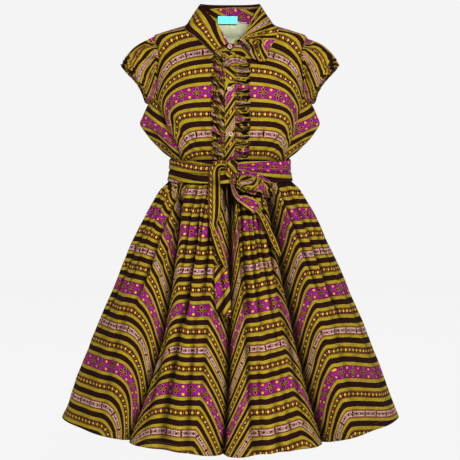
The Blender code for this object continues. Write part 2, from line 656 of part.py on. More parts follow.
def ruffle(side, sign, top_z, arch):
    """A gathered strip sewn along the placket; an arch turns its top over to the other side."""
    hub = ARCH_X if arch else 0.0
    straight = top_z - RUFFLE_FOOT_Z
    whole = straight + (math.pi * ARCH_WIDTH if arch else 0.0)
    waves = round(whole / RUFFLE_WAVE)
    along, share = pairs(np.linspace(0, 1, waves * RUFFLE_WAVE_ROWS + 1), RUFFLE_SHARES)
    run = along * whole
    angle = np.clip((run - straight) / ARCH_WIDTH, 0, math.pi)
    width = RUFFLE_WIDTH + (ARCH_WIDTH - RUFFLE_WIDTH) * ramp(angle / ARCH_EASE)
    reach = RUFFLE_IN - hub + width * share
    x = sign * (hub + reach * np.cos(angle))
    z = np.minimum(RUFFLE_FOOT_Z + run, top_z) + reach * np.sin(angle)
    swell = RUFFLE_SEWN + (1 - RUFFLE_SEWN) * share
    wave = RUFFLE_DEPTH * swell * (1 - np.cos(2 * math.pi * waves * along))
    points = in_front(bodice, x, z, RUFFLE_OUT + wave + ARCH_OUT * ramp(angle / ARCH_EASE))
    cloth(f"ruffle_{side}", points.transpose(1, 0, 2)[::sign, ::-1])


# Each button: where its middle is, the surface it is sewn to, how far its cloth is out from that
# surface and how far the button's back is held off the cloth by the cloth's curve.
Button = namedtuple("Button", "name x z surface out proud")
BUTTONS = [
    Button("button_collar", 0.000, -0.0500, stand, 0.0, 0.0013),
    Button("button_upper", -0.001, -0.1445, bodice, PLACKET_OUT, 0.0004),
    Button("button_lower", 0.002, -0.2415, bodice, PLACKET_OUT, 0.0004),
]
BUTTON_RADIUS = 0.0052
BUTTON_THICKNESS = 0.0022
BUTTON_RIM = 0.0007
BUTTON_SIDES = 16


def button(row):
    """A flat round button with a softened rim, sewn on so that its back lies on the cloth."""
    x = row.x + BUTTON_RADIUS * np.array([0.0, -1.0, 1.0, 0.0, 0.0])
    z = row.z + BUTTON_RADIUS * np.array([0.0, 0.0, 0.0, -1.0, 1.0])
    here, right, left, below, above = in_front(row.surface, x, z, row.out)
    normal = Vector(np.cross(left - right, above - below)).normalized()
    mesh = bpy.data.meshes.new(row.name)
    form = bmesh.new()
    bmesh.ops.create_cone(
        form,
        cap_ends=True,
        segments=BUTTON_SIDES,
        radius1=BUTTON_RADIUS,
        radius2=BUTTON_RADIUS,
        depth=BUTTON_THICKNESS,
    )
    form.to_mesh(mesh)
    form.free()
    piece = linked(row.name, mesh, BUTTON_PINK)
    rim = piece.modifiers.new("rim", "BEVEL")
    rim.width = BUTTON_RIM
    rim.segments = 1
    rim.limit_method = "ANGLE"
    piece.rotation_euler = normal.to_track_quat("Z", "Y").to_euler()
    piece.location = Vector(here) + normal * (BUTTON_THICKNESS / 2 + row.proud)


# ---------------------------------------------------------------- sash and bow
SASH_OUT = BELT + 0.0012  # the sash's outer face from the waist under it
SASH_COLUMNS = 52
SASH_ROWS = 4
SASH_CREASE_Z = -0.330
SASH_CREASE = 0.0008
SASH_CREASE_WIDTH = 0.008


def waist(bearing, z, out=0.0):
    """The sash's surface: the waist of bodice and skirt, drawn in smooth."""
    upper = bodice(bearing, np.maximum(z, WAIST_Z))
    lower = skirt_hull(bearing, np.minimum(z, WAIST_Z))
    inner = np.where((z > WAIST_Z)[..., None], upper, lower)
    radius = np.hypot(inner[..., 0], inner[..., 1])
    return placed(radius + out, bearing, z)


def sash_band():
    bearing, z = pairs(
        np.linspace(-180, 180, SASH_COLUMNS, endpoint=False),
        np.linspace(SASH_TOP_Z, SASH_FOOT_Z, SASH_ROWS),
    )
    crease = SASH_CREASE * np.exp(-(((z - SASH_CREASE_Z) / SASH_CREASE_WIDTH) ** 2))
    points = waist(bearing, z, SASH_OUT + SASH_CREASE - crease)
    cloth("sash_band", points, BELT, closed=True)


# A row for each place along a ribbon of the bow, seen from the front: where its middle line is,
# how far out of the skirt's hull its face lies there, half its width and how much it is crowned.
Lie = namedtuple("Lie", "x z out half crown")
STRAP_RIGHT = [
    Lie(-0.0081, -0.3108, 0.0152, 0.0075, 0.002),
    Lie(-0.0190, -0.3085, 0.0160, 0.0090, 0.002),
    Lie(-0.0300, -0.3140, 0.0145, 0.0100, 0.002),
    Lie(-0.0350, -0.3320, 0.0120, 0.0120, 0.003),
    Lie(-0.0345, -0.3700, 0.0090, 0.0130, 0.003),
    Lie(-0.0350, -0.4150, 0.0080, 0.0120, 0.003),
    Lie(-0.0375, -0.4480, 0.0075, 0.0070, 0.002),
    Lie(-0.0305, -0.4710, 0.0075, 0.0095, 0.002),
    Lie(-0.0195, -0.5020, 0.0070, 0.0085, 0.002),
    Lie(-0.0085, -0.5290, 0.0065, 0.0040, 0.001),
]
TAIL_RIGHT = [
    Lie(-0.0190, -0.5240, 0.0034, 0.0150, 0.000),
    Lie(-0.0210, -0.5540, 0.0040, 0.0175, 0.001),
    Lie(-0.0185, -0.5850, 0.0040, 0.0170, 0.001),
    Lie(-0.0130, -0.6120, 0.0040, 0.0130, 0.001),
    Lie(-0.0090, -0.6360, 0.0040, 0.0060, 0.000),
]
TAIL_LEFT = [
    Lie(0.0025, -0.3388, 0.0110, 0.0040, 0.000),
    Lie(0.0070, -0.3640, 0.0070, 0.0045, 0.000),
    Lie(0.0170, -0.3810, 0.0065, 0.0060, 0.001),
    Lie(0.0350, -0.3890, 0.0095, 0.0110, 0.002),
    Lie(0.0560, -0.4030, 0.0100, 0.0130, 0.002),
    Lie(0.0720, -0.4220, 0.0095, 0.0120, 0.002),
    Lie(0.0860, -0.4480, 0.0080, 0.0120, 0.002),
    Lie(0.0970, -0.4780, 0.0060, 0.0100, 0.001),
    Lie(0.1090, -0.5060, 0.0050, 0.0050, 0.001),
]
RIBBON_STEPS = 2  # sections between two rows
RIBBON_COLUMNS = 5


def along_rows(rows):
    """Places along a ribbon's table and across the ribbon, and each column of the table there."""
    last = len(rows) - 1
    t, across = pairs(
        np.linspace(0, last, last * RIBBON_STEPS + 1), np.linspace(-1, 1, RIBBON_COLUMNS)
    )
    fields = rows[0]._fields
    return t, across, {
        field: smooth(range(last + 1), [getattr(row, field) for row in rows]) for field in fields
    }


def ribbon(name, rows):
    """A hanging strip of the sash, laid over the skirt's hull along a table's middle line."""
    t, across, at = along_rows(rows)
    run_x = np.gradient(at["x"](t[:, 0]))[:, None]
    run_z = np.gradient(at["z"](t[:, 0]))[:, None]
    length = np.hypot(run_x, run_z)
    x = at["x"](t) - run_z / length * at["half"](t) * across
    z = at["z"](t) + run_x / length * at["half"](t) * across
    out = at["out"](t) + at["crown"](t) * (1 - across**2)
    cloth(name, in_front(waist, x, z, out).transpose(1, 0, 2), BELT)


# A row for each place round the bow's one full loop, which droops from the knot to the left.
Turn = namedtuple("Turn", "x z out half lean")
BOW_LOOP = [
    Turn(0.0144, -0.3340, 0.0190, 0.0090, 0.000),
    Turn(0.0350, -0.3370, 0.0230, 0.0150, 0.002),
    Turn(0.0600, -0.3450, 0.0240, 0.0180, 0.003),
    Turn(0.0830, -0.3580, 0.0200, 0.0180, 0.003),
    Turn(0.0910, -0.3640, 0.0140, 0.0175, 0.003),
    Turn(0.0800, -0.3640, 0.0100, 0.0170, 0.002),
    Turn(0.0560, -0.3610, 0.0090, 0.0150, 0.001),
    Turn(0.0300, -0.3560, 0.0100, 0.0110, 0.000),
    Turn(0.0150, -0.3520, 0.0110, 0.0080, 0.000),
]


def bow_loop():
    """A strip that goes out from the knot, turns back on itself and returns behind."""
    t, across, at = along_rows(BOW_LOOP)
    x = at["x"](t) + at["lean"](t) * across
    z = at["z"](t) - at["half"](t) * across
    cloth("bow_loop", in_front(waist, x, z, at["out"](t)), BELT)


KNOT_SIZE = (0.0155, 0.0105, 0.0240)  # half its width, depth and height
KNOT_PLACE = (0.0035, -0.3190)
KNOT_LEAN = 12.0  # degrees
KNOT_SHRINK = 0.84  # how far the rounded lump reaches towards its cage
KNOT_LEVELS = 2


def sash_knot():
    """The knot's wound cloth as one rounded lump in front of the sash."""
    mesh = bpy.data.meshes.new("sash_knot")
    form = bmesh.new()
    bmesh.ops.create_cube(form, size=2.0)
    bmesh.ops.scale(form, vec=Vector(KNOT_SIZE), verts=form.verts)
    form.to_mesh(mesh)
    form.free()
    piece = linked("sash_knot", mesh, WAX_PRINT)
    soft = piece.modifiers.new("soft", "SUBSURF")
    soft.levels = soft.render_levels = KNOT_LEVELS
    x, z = KNOT_PLACE
    out = SASH_OUT + SASH_CREASE + KNOT_SIZE[1] * KNOT_SHRINK + LAY_GAP
    piece.location = in_front(waist, np.array([x]), np.array([z]), out)[0]
    piece.rotation_euler = (0.0, math.radians(KNOT_LEAN), 0.0)


# ---------------------------------------------------------------- build
COLLECTION = start_scene()

for side, sign in (("right", -1), ("left", 1)):
    bodice_front(side, sign)
    bodice_side(side, sign)
    sleeve(side, sign)
bodice_back()
collar_stand()
collar_fall()
neck_label()
placket()
ruffle("right", -1, RIGHT_RUFFLE_TOP_Z, False)
ruffle("left", 1, ARCH_Z, True)
for row in BUTTONS:
    button(row)
skirt_gores()
sash_band()
sash_knot()
bow_loop()
ribbon("bow_strap", STRAP_RIGHT)
ribbon("sash_tail_right", TAIL_RIGHT)
ribbon("sash_tail_left", TAIL_LEFT)
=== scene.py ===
"""Looks of the ankara wax print dress: every piece of cloth at its full fineness, with its print.

Metres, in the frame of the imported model: +Z up, the front of the dress faces -Y and the wearer's
left is +X. Bearings are degrees round the body: 0 is the centre front, 90 the wearer's left side
and 180 the centre back. Each piece is a fine grid of points on the same surfaces as its solid, and
carries a UV map, in metres of cloth, that the print's material reads.
"""

import math
from collections import namedtuple

import bmesh
import bpy
import numpy as np
from mathutils import Matrix, Vector


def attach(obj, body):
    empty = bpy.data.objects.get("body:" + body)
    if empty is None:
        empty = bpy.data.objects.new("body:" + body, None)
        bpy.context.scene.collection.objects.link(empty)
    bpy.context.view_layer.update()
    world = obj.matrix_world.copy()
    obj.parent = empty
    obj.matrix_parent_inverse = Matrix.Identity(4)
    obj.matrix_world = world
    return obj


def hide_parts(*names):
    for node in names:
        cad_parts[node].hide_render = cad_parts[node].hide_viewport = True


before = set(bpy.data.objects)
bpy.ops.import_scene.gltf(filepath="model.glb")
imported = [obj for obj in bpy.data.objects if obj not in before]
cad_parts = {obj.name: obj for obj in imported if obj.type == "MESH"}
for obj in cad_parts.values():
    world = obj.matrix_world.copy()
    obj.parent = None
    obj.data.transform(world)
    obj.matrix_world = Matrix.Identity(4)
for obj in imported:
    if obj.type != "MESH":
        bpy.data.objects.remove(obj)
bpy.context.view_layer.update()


# ---------------------------------------------------------------- driving dimensions
CLOTH = 0.0012  # wall of a single layer of cloth
BELT = 0.0018  # wall of the sash, two layers sewn together
SEAM_GAP = 0.0005  # between the two panels of a seam
LAY_GAP = 0.0004  # between a piece and what it lies on

WAIST_Z = -0.329
HEM_Z = -0.9175
NECK_FRONT_Z = -0.060
NECK_BACK_Z = 0.018
NECK_SIDE_Z = 0.008
SHOULDER_TIP_Z = -0.023
SASH_TOP_Z = -0.303
SASH_FOOT_Z = -0.352
UNDERARM_Z = -0.177
ARMHOLE_FOOT_Z = -0.163
UNDERARM_REACH = 15.0  # bearing from the side seam line to the armhole's foot
FRONT_EDGE_BEARING = 0.2  # where the two fronts meet, under the placket

# One row for each level of the bodice: half width, depth in front and behind, squareness of the
# oval, how far the loose side panel wings out, how deep the crease at its seams is, and the
# bearings of the right front, left front and back seams of the side panels. A row that leaves the
# last five out takes the upper bodice's.
TORSO_COLUMNS = "z side front back square wing crease seam_right seam_left seam_back"
UPPER_TORSO = (0.0, 0.0, 75.0, 75.0, 105.0)
Torso = namedtuple("Torso", TORSO_COLUMNS, defaults=UPPER_TORSO)
TORSO = [
    Torso(-0.345, 0.1370, 0.102, 0.098, 2.2, 0.000, 0.000, 62.0, 67.0, 117.0),
    Torso(-0.303, 0.1365, 0.103, 0.099, 2.2, 0.000, 0.000, 60.5, 67.0, 117.0),
    Torso(-0.292, 0.1400, 0.109, 0.103, 2.3, 0.010, 0.004, 60.0, 68.0, 116.0),
    Torso(-0.278, 0.1440, 0.117, 0.108, 2.4, 0.021, 0.008, 59.5, 69.5, 115.0),
    Torso(-0.260, 0.1490, 0.125, 0.113, 2.5, 0.034, 0.011, 60.0, 71.0, 113.0),
    Torso(-0.241, 0.1530, 0.130, 0.115, 2.6, 0.044, 0.013, 62.5, 72.0, 111.0),
    Torso(-0.223, 0.1570, 0.132, 0.116, 2.6, 0.051, 0.013, 66.5, 73.0, 109.0),
    Torso(-0.204, 0.1610, 0.132, 0.116, 2.6, 0.040, 0.010, 70.5, 74.0, 107.0),
    Torso(-0.177, 0.1660, 0.131, 0.115, 2.6, 0.023, 0.006, 74.0, 75.0, 105.5),
    Torso(-0.163, 0.1680, 0.129, 0.114, 2.6, 0.014, 0.003, 75.0, 75.0, 105.0),
    Torso(-0.140, 0.1690, 0.124, 0.113, 2.6, 0.004, 0.000, 75.0, 75.0, 105.0),
    Torso(-0.100, 0.1710, 0.105, 0.109, 2.6),
    Torso(-0.060, 0.1730, 0.078, 0.102, 2.5),
    Torso(-0.023, 0.1736, 0.060, 0.084, 2.3),
    Torso(-0.012, 0.1450, 0.058, 0.072, 2.2),
    Torso(-0.002, 0.1120, 0.057, 0.065, 2.1),
    Torso(0.008, 0.0760, 0.056, 0.061, 2.0),
    Torso(0.022, 0.0500, 0.050, 0.056, 2.0),
]
WING_WIDTH = 13.0  # degrees
WING_SHARPNESS = 1.6
CREASE_WIDTH = 4.0

# The side edge of a front or back, from the waist to the neck point, by share of the way up:
# its height, and how much of the way it has moved from the side panel's seam to the shoulder.
Edge = namedtuple("Edge", "up z bite")
SASH_UP = 0.08
ARMHOLE_FOOT_UP = 0.36
SHOULDER_TIP_UP = 0.70
SIDE_EDGE = [
    Edge(0.00, WAIST_Z + SEAM_GAP, 0.00),
    Edge(SASH_UP, SASH_TOP_Z + SEAM_GAP, 0.00),
    Edge(0.22, -0.233, 0.00),
    Edge(ARMHOLE_FOOT_UP, ARMHOLE_FOOT_Z, 0.00),
    Edge(0.54, -0.090, 0.04),
    Edge(0.63, -0.048, 0.34),
    Edge(SHOULDER_TIP_UP, SHOULDER_TIP_Z, 1.00),
    Edge(0.80, -0.0105, 1.00),
    Edge(0.90, -0.0005, 1.00),
    Edge(1.00, NECK_SIDE_Z, 1.00),
]

# One row for each level of the skirt, with the bearings of its front seams and the depth that the
# cloth sinks into the body at the centre seams and at the others.
Flare = namedtuple("Flare", "z side front back square seam_right seam_left seam_front centre valley")
FLARE = [
    Flare(-0.329, 0.1370, 0.102, 0.098, 2.2, 60.0, 47.0, 0.0, 0.000, 0.000),
    Flare(-0.352, 0.1425, 0.106, 0.102, 2.1, 59.0, 46.0, 0.0, 0.001, 0.001),
    Flare(-0.371, 0.1620, 0.119, 0.113, 2.0, 58.0, 45.0, 0.0, 0.007, 0.006),
    Flare(-0.399, 0.1800, 0.132, 0.125, 1.9, 55.0, 44.0, 0.0, 0.014, 0.012),
    Flare(-0.455, 0.2110, 0.152, 0.144, 1.9, 50.0, 43.5, 0.0, 0.026, 0.020),
    Flare(-0.531, 0.2470, 0.178, 0.167, 1.8, 48.0, 43.5, 0.0, 0.036, 0.027),
    Flare(-0.627, 0.2880, 0.208, 0.194, 1.8, 46.5, 44.0, -0.5, 0.045, 0.034),
    Flare(-0.723, 0.3290, 0.236, 0.220, 1.7, 48.0, 46.0, -1.0, 0.052, 0.040),
    Flare(-0.820, 0.3680, 0.261, 0.242, 1.60, 52.3, 49.3, -2.0, 0.058, 0.045),
    Flare(-0.945, 0.4140, 0.291, 0.268, 1.52, 59.0, 53.6, -4.5, 0.062, 0.048),
]
BACK_SEAM = 132.0  # bearing of the left back seam at every height
VALLEY_WIDTH = 11.5  # degrees
VALLEY_SHARPNESS = 1.5
CENTRE_HEM_DROP = 0.017  # the bias cloth of a centre seam hangs this much lower
SIDE_HEM_DROP = 0.011  # and that of the other seams this much
HEM_DROP_WIDTH = 14.0

# Soft lengthwise folds of the skirt between its seams.
Flute = namedtuple("Flute", "bearing width depth")
FLUTES = [
    Flute(-31.0, 5.0, 0.007),
    Flute(-19.0, 4.0, 0.005),
    Flute(13.0, 4.0, 0.008),
    Flute(23.0, 3.5, 0.007),
    Flute(33.0, 4.0, 0.005),
    Flute(-76.0, 6.0, 0.007),
    Flute(72.0, 6.0, 0.008),
    Flute(-103.0, 7.0, 0.009),
    Flute(101.0, 7.0, 0.010),
    Flute(-148.0, 5.0, 0.008),
    Flute(-163.0, 5.0, 0.006),
    Flute(150.0, 5.0, 0.007),
    Flute(166.0, 5.0, 0.007),
]
FLUTE_TOP_Z = -0.36
FLUTE_FULL_Z = -0.50
GATHERS = 28  # round the waist
GATHER_DEPTH = 0.0026
GATHER_START = 0.012  # height below the sash in which they grow
GATHER_FADE = 0.075  # height over which they die away


# ---------------------------------------------------------------- curves and surfaces
def smooth(keys, values):
    """A monotone cubic curve through a table's points, so that it never overshoots them."""
    keys, values = np.asarray(keys, float), np.asarray(values, float)
    steps = np.diff(keys)
    slopes = np.diff(values) / steps
    tangents = np.concatenate([[slopes[0]], (slopes[:-1] + slopes[1:]) / 2, [slopes[-1]]])
    turning = slopes[:-1] * slopes[1:] <= 0
    tangents[1:-1][turning] = 0.0
    limit = 3 * np.minimum(np.abs(slopes[:-1]), np.abs(slopes[1:]))
    tangents[1:-1] = np.clip(tangents[1:-1], -limit, limit)

    def curve(where):
        where = np.clip(where, keys[0], keys[-1])
        i = np.clip(np.searchsorted(keys, where, side="right") - 1, 0, len(steps) - 1)
        h = steps[i]
        t = (where - keys[i]) / h
        start = values[i] * (1 + 2 * t) * (1 - t) ** 2 + h * tangents[i] * t * (1 - t) ** 2
        end = values[i + 1] * t * t * (3 - 2 * t) - h * tangents[i + 1] * t * t * (1 - t)
        return start + end

    return curve


def columns(rows, key):
    """A smooth curve for each column of a table, by its key column."""
    rows = sorted(rows, key=lambda row: getattr(row, key))
    keys = [getattr(row, key) for row in rows]
    return {
        name: smooth(keys, [getattr(row, name) for row in rows])
        for name in rows[0]._fields
        if name != key
    }


def interpolate(where, keys, values):
    """Values at places between ordered keys, for each column of the values."""
    return np.stack([np.interp(where, keys, values[:, k]) for k in range(values.shape[1])], axis=-1)


def run_along(line):
    """Distance along a line of points, at each of them."""
    return np.concatenate([[0], np.cumsum(np.linalg.norm(np.diff(line, axis=0), axis=1))])


TORSO_AT = columns(TORSO, "z")
FLARE_AT = columns(FLARE, "z")


def ramp(x):
    """0 below 0 and 1 above 1, eased between the two."""
    x = np.clip(x, 0.0, 1.0)
    return x * x * (3 - 2 * x)


def bell(x, width=1.0, power=2):
    """1 where x is 0, falling to nothing over a few widths."""
    return np.exp(-((x / width) ** power))


def oval(bearing, side, front, back, square):
    """Reach of an oval toward a bearing; the higher square is, the squarer the oval."""
    angle = np.radians(bearing)
    depth = np.where(np.cos(angle) > 0, front, back)
    across = np.abs(np.sin(angle)) / side
    along = np.abs(np.cos(angle)) / depth
    return (across**square + along**square) ** (-1 / square)


def placed(radius, bearing, z):
    """Points by radius, bearing and height."""
    angle = np.radians(bearing)
    return np.stack([radius * np.sin(angle), -radius * np.cos(angle), z + 0 * radius], axis=-1)


def side_seam(bearing, z):
    """Bearing, from the front, of the side panel's seam on the same quarter of the bodice."""
    front = np.where(bearing > 0, TORSO_AT["seam_left"](z), TORSO_AT["seam_right"](z))
    return np.where(np.abs(bearing) < 90.0, front, TORSO_AT["seam_back"](z))


def bodice(bearing, z, out=0.0):
    """Outer face of the bodice, or a surface that lies out beyond it."""
    at = {name: curve(z) for name, curve in TORSO_AT.items()}
    radius = oval(bearing, at["side"], at["front"], at["back"], at["square"])
    from_side = np.abs(np.abs(bearing) - 90.0)
    radius = radius + at["wing"] * bell(from_side, WING_WIDTH, WING_SHARPNESS)
    from_seam = np.abs(bearing) - side_seam(bearing, z)
    radius = radius - at["crease"] * bell(from_seam, CREASE_WIDTH)
    return placed(radius + out, bearing, z)


def skirt_seams(z):
    """(right front, front, left front, left back, back, right back) seam bearings at a height."""
    back = BACK_SEAM + 0 * z
    return (
        -FLARE_AT["seam_right"](z),
        FLARE_AT["seam_front"](z),
        FLARE_AT["seam_left"](z),
        back,
        180.0 + 0 * z,
        360.0 - back,
    )


# Which column of depths, and which drop of the hem, belongs to each of those seams.
SEAM_DEPTHS = ("valley", "centre", "valley", "valley", "centre", "valley")
HEM_DROPS = {"valley": SIDE_HEM_DROP, "centre": CENTRE_HEM_DROP}


def turn_between(a, b):
    """Signed degrees from b to a, the short way round."""
    return (a - b + 180.0) % 360.0 - 180.0


def skirt_fold(bearing, z):
    """How far the skirt's surface sinks below its oval: seam valleys, soft flutes and gathers."""
    sunk = 0.0
    for seam, depth in zip(skirt_seams(z), SEAM_DEPTHS):
        away = np.abs(turn_between(bearing, seam))
        sunk = sunk + FLARE_AT[depth](z) * bell(away, VALLEY_WIDTH, VALLEY_SHARPNESS)
    grown = ramp((FLUTE_TOP_Z - z) / (FLUTE_TOP_Z - FLUTE_FULL_Z))
    for flute in FLUTES:
        away = turn_between(bearing, flute.bearing)
        sunk = sunk + flute.depth * grown * bell(away, flute.width)
    below = np.maximum(SASH_FOOT_Z - z, 0.0)
    gather = GATHER_DEPTH * ramp(below / GATHER_START) * np.exp(-below / GATHER_FADE)
    return sunk + gather * (1 + np.cos(np.radians(bearing * GATHERS)))


def skirt(bearing, z, out=0.0, folded=True):
    """Outer face of the skirt, or a surface that lies out beyond it."""
    at = {name: curve(z) for name, curve in FLARE_AT.items()}
    radius = oval(bearing, at["side"], at["front"], at["back"], at["square"])
    if folded:
        radius = radius - skirt_fold(bearing, z)
    return placed(radius + out, bearing, z)


def hem_z(bearing):
    """Height of the hem: level, but lower at every seam."""
    z = HEM_Z + 0.0 * bearing
    for seam, depth in zip(skirt_seams(HEM_Z), SEAM_DEPTHS):
        away = turn_between(bearing, float(seam))
        z = z - HEM_DROPS[depth] * bell(away, HEM_DROP_WIDTH)
    return z


BEARING_STEPS = 8  # rounds in which a bearing is found from a width
MOST_ACROSS = 0.97  # share of the reach beyond which a width has no bearing


def in_front(surface, x, z, out=0.0):
    """Points of a surface at widths and heights, seen from the front, moved forward by out."""
    bearing = 0.0 * x
    for _ in range(BEARING_STEPS):
        point = surface(bearing, z)
        reach = np.hypot(point[..., 0], point[..., 1])
        bearing = np.degrees(np.arcsin(np.clip(x / reach, -MOST_ACROSS, MOST_ACROSS)))
    point = surface(bearing, z)
    return np.stack([point[..., 0], point[..., 1] - out, point[..., 2]], axis=-1)


# ---------------------------------------------------------------- bodice
EDGE_AT = columns(SIDE_EDGE, "up")
FRONT_QUARTER, BACK_QUARTER = 60.0, 120.0  # a bearing on each quarter of the bodice
SEAM_RADIUS = 0.16  # of the bodice at its side seams
SEAM_TURN = math.degrees(SEAM_GAP / 2 / SEAM_RADIUS)  # half the seam gap as a bearing
SHOULDER_TURN = 0.20  # and at the shoulder seam, where the walls lean together


def panel_edge(up, centre_bearing, sign):
    """Bearing (without its sign) and height of the side edge of a front or back."""
    z = EDGE_AT["z"](up)
    from_front = centre_bearing < 90.0
    seam = side_seam(sign * (FRONT_QUARTER if from_front else BACK_QUARTER), z)
    bite = EDGE_AT["bite"](up)
    turn = SEAM_TURN + (SHOULDER_TURN - SEAM_TURN) * bite
    return seam + (90.0 - seam) * bite + (-turn if from_front else turn), z


def level(up, low, high):
    """Height by share of the way up, level under the sash and spread evenly above it."""
    foot = WAIST_Z + SEAM_GAP
    under = foot + (low - foot) * up / SASH_UP
    above = low + (high - low) * (up - SASH_UP) / (1 - SASH_UP)
    return np.where(up < SASH_UP, under, above)


def panel_point(along, up, centre_bearing, centre_top, sign):
    """A point of a front or back: along runs from its centre line (0) to its side edge (1)."""
    edge_bearing, edge_z = panel_edge(up, centre_bearing, sign)
    bearing = centre_bearing + (edge_bearing - centre_bearing) * along
    centre_z = level(up, EDGE_AT["z"](SASH_UP), centre_top)
    climb = np.sin(np.radians(90.0 * along))
    return sign * bearing, centre_z + (edge_z - centre_z) * climb


def underarm_z(bearing):
    """Height of the side panel's top edge."""
    share = np.abs((np.abs(bearing) - 90.0) / UNDERARM_REACH)
    return UNDERARM_Z + (ARMHOLE_FOOT_Z - UNDERARM_Z) * share**2


# ---------------------------------------------------------------- sleeves
SLEEVE_COLUMNS = 40
CUFF_TOP = np.array([0.2515, 0.000, -0.085])
CUFF_FOOT = np.array([0.1925, 0.000, -0.177])
CUFF_HALF_DEPTH = 0.054
SLEEVE_PUFF = 0.015
CAP_PUFF = 0.55  # share of the puff that is only over the cap
SLEEVE_START = 0.0012  # clear of the armhole's edge
ARMHOLE_STEPS = 24  # along each edge of a front or back
UNDERARM_STEPS = 12


def armhole(sign):
    """Points round an armhole: shoulder tip, down the front, underarm, up the back."""
    front = np.linspace(SHOULDER_TIP_UP, ARMHOLE_FOOT_UP, ARMHOLE_STEPS)
    under = np.linspace(90.0 - UNDERARM_REACH, 90.0 + UNDERARM_REACH, UNDERARM_STEPS)[1:-1]
    back = front[:0:-1]
    pieces = [
        panel_point(1.0, front, FRONT_EDGE_BEARING, NECK_FRONT_Z, sign),
        (sign * under, underarm_z(under)),
        panel_point(1.0, back, 180.0, NECK_BACK_Z, sign),
    ]
    return evenly(np.concatenate([bodice(bearing, z) for bearing, z in pieces]), SLEEVE_COLUMNS)


def evenly(loop, count):
    """A closed loop's points, spaced evenly along it."""
    ring = np.vstack([loop, loop[:1]])
    run = run_along(ring)
    return interpolate(np.linspace(0, run[-1], count, endpoint=False), run, ring)


# ---------------------------------------------------------------- collar
# One row for each place round the collar, from the wearer's right front end to the left: where
# the fold at its top is, where the outer edge is, how far that edge stands off the bodice and how
# far the cloth between them rolls out.
Leaf = namedtuple("Leaf", "place fold fold_radius fold_z edge edge_z lift roll")
COLLAR = [
    Leaf(0.00, -2.0, 0.0860, -0.0430, -26.0, -0.0640, 0.0040, 0.002),
    Leaf(0.08, -14.0, 0.0740, -0.0180, -42.0, -0.0420, 0.0040, 0.003),
    Leaf(0.16, -30.0, 0.0660, 0.0060, -60.0, -0.0180, 0.0040, 0.003),
    Leaf(0.25, -60.0, 0.0655, 0.0330, -78.0, 0.0010, 0.0040, 0.002),
    Leaf(0.33, -95.0, 0.0680, 0.0495, -100.0, 0.0030, 0.0050, 0.001),
    Leaf(0.42, -138.0, 0.0660, 0.0520, -138.0, -0.0040, 0.0080, 0.004),
    Leaf(0.50, -180.0, 0.0640, 0.0530, -180.0, -0.0060, 0.0100, 0.006),
    Leaf(0.58, -222.0, 0.0660, 0.0520, -222.0, -0.0040, 0.0080, 0.004),
    Leaf(0.67, -265.0, 0.0680, 0.0495, -262.0, 0.0030, 0.0050, 0.001),
    Leaf(0.75, -300.0, 0.0660, 0.0270, -284.0, 0.0010, 0.0060, 0.002),
    Leaf(0.82, -315.0, 0.0680, 0.0080, -297.0, -0.0200, 0.0080, 0.003),
    Leaf(0.87, -325.0, 0.0710, -0.0060, -302.7, -0.0350, 0.0100, 0.004),
    Leaf(0.92, -333.5, 0.0755, -0.0180, -311.0, -0.0540, 0.0120, 0.005),
    Leaf(0.965, -340.5, 0.0805, -0.0270, -325.0, -0.0860, 0.0120, 0.005),
    Leaf(1.00, -346.0, 0.0850, -0.0345, -332.5, -0.0775, 0.0100, 0.004),
]
LEAF_AT = columns(COLLAR, "place")
LEAF_CREASE = 0.008  # height of the ridge that crosses the left leaf
CREASE_START = 0.76  # its place round the collar
CREASE_GROWTH = 0.10
CREASE_SHARE = 0.42  # how far it is from the fold
CREASE_SHARE_WIDTH = 0.2
ROLL_RISE = 0.4  # how far the roll also lifts the cloth
STAND_INSET = 0.0024  # the stand's outer face from the fold of the collar
STAND_DROP = 0.0012  # its top edge below that fold
STAND_RISE = 0.0014  # its foot above the neckline
STAND_START = 6.0  # bearing of its buttoned end
STAND_ROUND = 359.5  # degrees it goes round
PLACES = np.linspace(0, 1, 200)  # round the collar, to look a bearing up in


def neck_z(bearing):
    """Height of the bodice's neckline."""
    from_front = np.abs(bearing) < 90.0
    low = np.where(from_front, NECK_FRONT_Z, NECK_BACK_Z)
    share = np.where(from_front, np.abs(bearing) / 90.0, (180.0 - np.abs(bearing)) / 90.0)
    climb = np.sin(np.radians(90.0 * np.clip(share, 0, 1)))
    return low + (NECK_SIDE_Z - low) * climb


def stand_point(place, up, out=0.0):
    """A point of the collar stand, from the neckline to just under the fold."""
    bearing = STAND_START - STAND_ROUND * place
    nearest = np.interp(-bearing, -LEAF_AT["fold"](PLACES), PLACES)
    top_radius = LEAF_AT["fold_radius"](nearest) - STAND_INSET
    top_z = LEAF_AT["fold_z"](nearest) - STAND_DROP
    wrapped = turn_between(bearing, 0.0)
    foot = bodice(wrapped, neck_z(wrapped))
    foot_radius = np.hypot(foot[..., 0], foot[..., 1])
    radius = foot_radius + (top_radius - foot_radius) * up
    z = foot[..., 2] + STAND_RISE + (top_z - foot[..., 2] - STAND_RISE) * up
    return placed(radius + out, bearing, z)


def stand(bearing, z, out=0.0):
    """The collar stand as a surface of bearing and height."""
    place = (STAND_START - bearing) / STAND_ROUND
    top = stand_point(place, np.ones_like(place))
    low = stand_point(place, np.zeros_like(place))
    up = (z - low[..., 2]) / (top[..., 2] - low[..., 2])
    return stand_point(place, up, out)


# ---------------------------------------------------------------- how the print lies on the dress
REPEAT = 0.189  # height of the print's repeat, in metres of cloth

